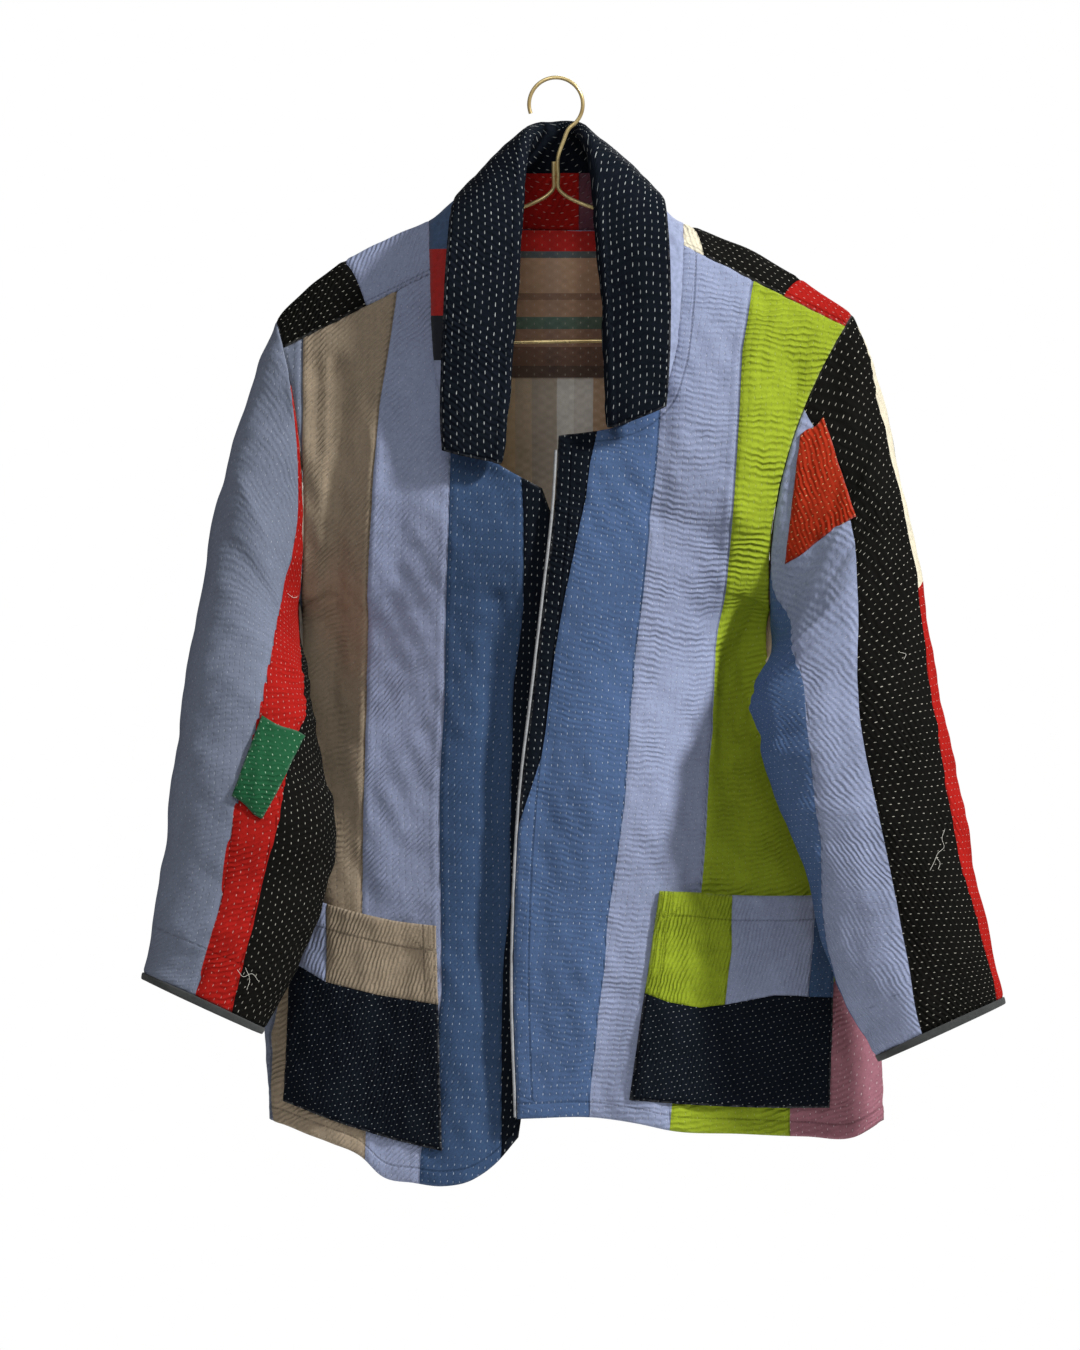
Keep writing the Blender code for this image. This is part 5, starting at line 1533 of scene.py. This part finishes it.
def collar_surface():
    """The collar's visible side: the stand up to the fold, the fold, and the fall to the edge."""
    seam, share = fine_neckline()
    lines = through(COLLAR_LINES[:, 0], COLLAR_LINES[:, 1:])(share)
    fold, edge = lines[:, :3], lines[:, 3:]
    rise = unit(fold - seam)
    seam = seam + rise * COLLAR_GAP
    side = -unit(np.cross(unit(np.gradient(fold, axis=0)), rise))
    centre = fold + side * COLLAR_ROLL
    over = fold + side * 2 * COLLAR_ROLL
    stand = [seam + (fold - seam) * t + side * 0.004 * math.sin(math.pi * t) for t in np.linspace(0, 1, 20)]
    angles = np.linspace(0, math.pi, 9)[1:-1]
    turn = [centre + COLLAR_ROLL * (-side * math.cos(a) + rise * math.sin(a)) for a in angles]
    fall = [over + (edge - over) * t + side * 0.003 * math.sin(math.pi * t) for t in np.linspace(0, 1, 32)]
    under = np.stack(stand + turn + fall, axis=1)
    normal = normals_of(under, np.zeros(3))
    if np.sum(normal[:, 0] * side) > 0:
        normal = -normal
    return under + normal * CLOTH, normal, share, len(stand)


def under_collar():
    """The side of the collar that faces the shoulders: blocks of blue, red and dark cloth."""
    bench = Bench("under_collar")
    x, _, z = bench.apart(bench.place())
    drop = bench.times(z, -1.0)
    colours = bpy.context.scene.jacket_colours
    blocks = bench.steps(
        bench.spread(drop, 0.05, 0.25),
        [
            (0.0, tuple(colours.deep_blue)),
            (0.43, tuple(colours.red)),
            (0.70, tuple(colours.navy)),
            (0.88, tuple(colours.lilac)),
        ],
    )
    blocks = bench.mixed(bench.calc("GREATER_THAN", x, 0.03), blocks, tuple(colours.lilac))
    slub = bench.noise(240.0, 2.0)
    swirl = bench.noise(110.0, 2.0)
    light = bench.total(bench.spread(slub, 0.3, 0.7, 0.82, 1.12), (swirl, 0.1))
    bench.raised(bench.total(bench.times(swirl, 0.8), (slub, 0.15)), 0.001)
    return bench.finish(bench.scaled(blocks, light), 0.9, sheen=0.1)


class JACKET_OT_collar(bpy.types.Operator):
    """Makes the collar, from its stand over the fold to its free edge"""

    bl_idname = "jacket.collar"
    bl_label = "Collar"

    def execute(self, context):
        sizes = context.scene.jacket_sizes
        points, normal, share, stand_rows = collar_surface()
        from_end, to_end, _, from_edge, edge = edge_distances(points)
        on_stand = np.arange(points.shape[1])[None, :] < stand_rows
        middle = (share > 0.36) & (share < 0.64)
        band = (-0.0744 - points[..., 2]) * 1000
        band = np.where(on_stand & middle[:, None], band, -20.0)
        strip, seam = strips_between(points[..., 0], [np.full(points.shape[:2], 0.0184)])
        seam = np.where(band > 0, np.minimum(seam, band), np.abs(band))
        lift = uneven(points, edge, 10, (0.0009, 0.050), (0.0003, 0.017), 71) + pressed(edge, 0.0009, 1.8)
        lift = lift + np.where(band > -6, seam_valley(seam, sizes.seam_depth * 0.6), 0)
        rows_apart, stitches_apart = sizes.row_gap * 1.12, sizes.stitch_gap * 1.15
        rows = from_edge / 1000 / rows_apart + FEW_AHEAD
        stitches = (rows, from_end / 1000 / stitches_apart + FEW_AHEAD)
        values = {"strip": strip, "seam": np.where(band > -6, seam, 9.0), "band": band, "edge": edge}
        values["topstitch"] = np.minimum.reduce([from_end, to_end, from_edge]) - 2.4
        values["run"] = from_end
        quilt = quilted("collar_quilt", ("navy", "navy"), ("red", "purple"), (0.0026, 0.0007))
        lay_cloth("collar", points, normal, lift, values, stitches, [quilt, under_collar()])
        return {"FINISHED"}


def rounded_line(points, count):
    """The same line with many more points, smooth through its own."""
    points = np.array(points)
    length = np.concatenate([[0], np.cumsum(np.linalg.norm(np.diff(points, axis=0), axis=1))])
    return through(length, points)(np.linspace(0, length[-1], count))


def lay_cord(name, lines, diameter, material, node=None, sides=5):
    """Round wires or cords along lines, in their solid's place where they have one.
    They are made as one curve, and turned into a mesh."""
    curve = bpy.data.curves.new(name, "CURVE")
    curve.dimensions = "3D"
    curve.bevel_depth = diameter / 2
    curve.bevel_resolution = sides
    curve.use_fill_caps = True
    for line in lines:
        spline = curve.splines.new("POLY")
        spline.points.add(len(line) - 1)
        for target, point in zip(spline.points, line):
            target.co = (*point, 1)
    curved = bpy.data.objects.new(name + "_curve", curve)
    bpy.context.collection.objects.link(curved)
    bpy.context.view_layer.update()
    mesh = bpy.data.meshes.new_from_object(curved.evaluated_get(bpy.context.evaluated_depsgraph_get()))
    bpy.data.objects.remove(curved)
    bpy.data.curves.remove(curve)
    mesh.name = name
    mesh.materials.clear()
    mesh.materials.append(material)
    mesh.shade_smooth()
    piece = bpy.data.objects.new(name, mesh)
    bpy.context.collection.objects.link(piece)
    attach(piece, "root")
    if node:
        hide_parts(node)


class JACKET_OT_piping(bpy.types.Operator):
    """Runs the pale piping down the left front's edge"""

    bl_idname = "jacket.piping"
    bl_label = "Front edge piping"

    def execute(self, context):
        line = LEFT.front(0.0, np.linspace(CORNER + 0.012, 0.998, 260))
        line[:, 0] -= 0.0016
        line[:, 1] += CLOTH / 2
        lay_cord("edge_piping_cord", [line], 0.0024, edge_piping(), "front_edge_piping", 3)
        return {"FINISHED"}


class JACKET_OT_hanger(bpy.types.Operator):
    """Bends the brass wire hanger"""

    bl_idname = "jacket.hanger"
    bl_label = "Wire hanger"

    def execute(self, context):
        line = rounded_line(hanger_line(), 620)
        lay_cord("hanger_wire", [line], WIRE, brass_wire(), "hanger")
        return {"FINISHED"}


# Loose threads on the sleeves, as pixels of the front view, and how high they lie above its solid
THREAD_LIFT = 0.0014
LOOSE_THREADS_LEFT = (
    ((941, 828), (938, 838), (940, 846), (934, 852), (930, 861), (926, 869)),
    ((932, 856), (936, 862), (934, 868)),
    ((897, 653), (903, 655), (901, 660)),
)
LOOSE_THREADS_RIGHT = (
    ((238, 968), (244, 975), (252, 972), (259, 980)),
    ((246, 966), (250, 978), (247, 988)),
    ((287, 592), (293, 596), (300, 593)),
)


def lay_threads(side, lines):
    """Short threads that lie on the sleeve's surface."""
    laid = []
    for line in lines:
        flat = rounded_line(np.hstack([in_metres(line), np.zeros((len(line), 1))]), 24)
        s, turn = side.tube_share(flat[:, 0], flat[:, 1])
        points = side.tube(s, turn)
        lift = sleeve_folds(side, s, turn) + THREAD_LIFT
        laid.append(points + spokes(side, points, s) * lift[:, None])
    return laid


class JACKET_OT_loose_threads(bpy.types.Operator):
    """Lays the loose cotton threads on the sleeves"""

    bl_idname = "jacket.loose_threads"
    bl_label = "Loose threads"

    def execute(self, context):
        lines = lay_threads(LEFT, LOOSE_THREADS_LEFT) + lay_threads(RIGHT, LOOSE_THREADS_RIGHT)
        lay_cord("loose_threads", lines, 0.00032, loose_cotton(), sides=1)
        return {"FINISHED"}


# The studio's lights, as name, place, width and power, and the point they face
LIGHTS = (
    ("key", (3.10, -1.85, 1.95), 0.50, 200.0),
    ("fill", (-0.50, -3.50, 2.00), 2.2, 38.0),
    ("rim", (0.6, 3.2, 1.2), 1.6, 60.0),
)
LIT_POINT = (0.0, 0.0, -0.45)
# How bright the world is as a light, and as the background that the camera sees
WORLD_LIGHT = 0.23
WORLD_SEEN = 1.0
FLOOR_RADIUS = 0.80


def soft_light(name, place, target, size, power):
    light = bpy.data.lights.new(name, "AREA")
    light.shape = "DISK"
    light.size = size
    light.energy = power
    obj = bpy.data.objects.new(name, light)
    obj.location = place
    away = np.array(place) - np.array(target)
    obj.rotation_euler = (
        math.acos(away[2] / np.linalg.norm(away)),
        0,
        math.atan2(away[1], away[0]) + math.pi / 2,
    )
    bpy.context.collection.objects.link(obj)


class JACKET_OT_stage(bpy.types.Operator):
    """Sets the floor, the lights, the background and the camera"""

    bl_idname = "jacket.stage"
    bl_label = "Stage"

    def execute(self, context):
        bm = bmesh.new()
        bmesh.ops.create_circle(bm, cap_ends=True, segments=96, radius=FLOOR_RADIUS)
        bmesh.ops.translate(bm, verts=bm.verts[:], vec=(0, 0, context.scene.jacket_sizes.floor_drop))
        mesh = bpy.data.meshes.new("floor")
        bm.to_mesh(mesh)
        bm.free()
        floor = bpy.data.objects.new("floor", mesh)
        context.collection.objects.link(floor)
        bench = Bench("pale_floor")
        grain = bench.spread(bench.noise(40.0, 3.0), 0.3, 0.7, 0.98, 1.02)
        mesh.materials.append(bench.finish(bench.scaled((0.86, 0.86, 0.85), grain), 0.9))

        world = bpy.data.worlds.new("studio")
        world.use_nodes = True
        context.scene.world = world
        tree = world.node_tree
        light = tree.nodes["Background"]
        seen = tree.nodes.new("ShaderNodeBackground")
        for background, strength in ((light, WORLD_LIGHT), (seen, WORLD_SEEN)):
            background.inputs["Color"].default_value = (1.0, 1.0, 1.0, 1)
            background.inputs["Strength"].default_value = strength
        path = tree.nodes.new("ShaderNodeLightPath")
        both = tree.nodes.new("ShaderNodeMixShader")
        tree.links.new(path.outputs["Is Camera Ray"], both.inputs[0])
        tree.links.new(light.outputs[0], both.inputs[1])
        tree.links.new(seen.outputs[0], both.inputs[2])
        tree.links.new(both.outputs[0], tree.nodes["World Output"].inputs["Surface"])

        for name, place, size, power in LIGHTS:
            soft_light(name, place, LIT_POINT, size, power)

        context.scene.view_settings.view_transform = "Standard"
        camera = bpy.data.cameras.new("camera")
        camera.sensor_fit = "VERTICAL"
        camera.sensor_height = 36.0
        camera.lens = LENS
        camera.clip_end = 50.0
        obj = bpy.data.objects.new("camera", camera)
        across = (MIDDLE_PIXEL[0] - ORIGIN_PIXEL[0]) * PIXEL
        up = (ORIGIN_PIXEL[1] - MIDDLE_PIXEL[1]) * PIXEL
        obj.location = (across, -CAMERA_AWAY, up)
        obj.rotation_euler = (math.pi / 2, 0, 0)
        context.collection.objects.link(obj)
        context.scene.camera = obj
        return {"FINISHED"}


class JACKET_PT_panel(bpy.types.Panel):
    """Lists the steps that make the jacket, and its sizes and colours"""

    bl_idname = "JACKET_PT_panel"
    bl_label = "Quilted jacket"
    bl_space_type = "VIEW_3D"
    bl_region_type = "UI"
    bl_category = "Jacket"

    def draw(self, context):
        for operator in STEPS:
            self.layout.operator(operator.bl_idname)
        for group in (context.scene.jacket_sizes, context.scene.jacket_colours):
            for name in group.__annotations__:
                self.layout.prop(group, name)


STEPS = (
    JACKET_OT_hanger,
    JACKET_OT_back,
    JACKET_OT_fronts,
    JACKET_OT_yokes,
    JACKET_OT_sleeves,
    JACKET_OT_cuffs,
    JACKET_OT_pockets,
    JACKET_OT_sleeve_patches,
    JACKET_OT_collar,
    JACKET_OT_piping,
    JACKET_OT_loose_threads,
    JACKET_OT_stage,
)
CLASSES = (JacketColours, JacketSizes, *STEPS, JACKET_PT_panel)


def register():
    for item in CLASSES:
        bpy.utils.register_class(item)
    bpy.types.Scene.jacket_colours = PointerProperty(type=JacketColours)
    bpy.types.Scene.jacket_sizes = PointerProperty(type=JacketSizes)


def unregister():
    del bpy.types.Scene.jacket_sizes
    del bpy.types.Scene.jacket_colours
    for item in reversed(CLASSES):
        bpy.utils.unregister_class(item)


def main():
    register()
    for step in STEPS:
        getattr(bpy.ops.jacket, step.bl_idname.split(".")[1])()


if __name__ == "__main__":
    main()
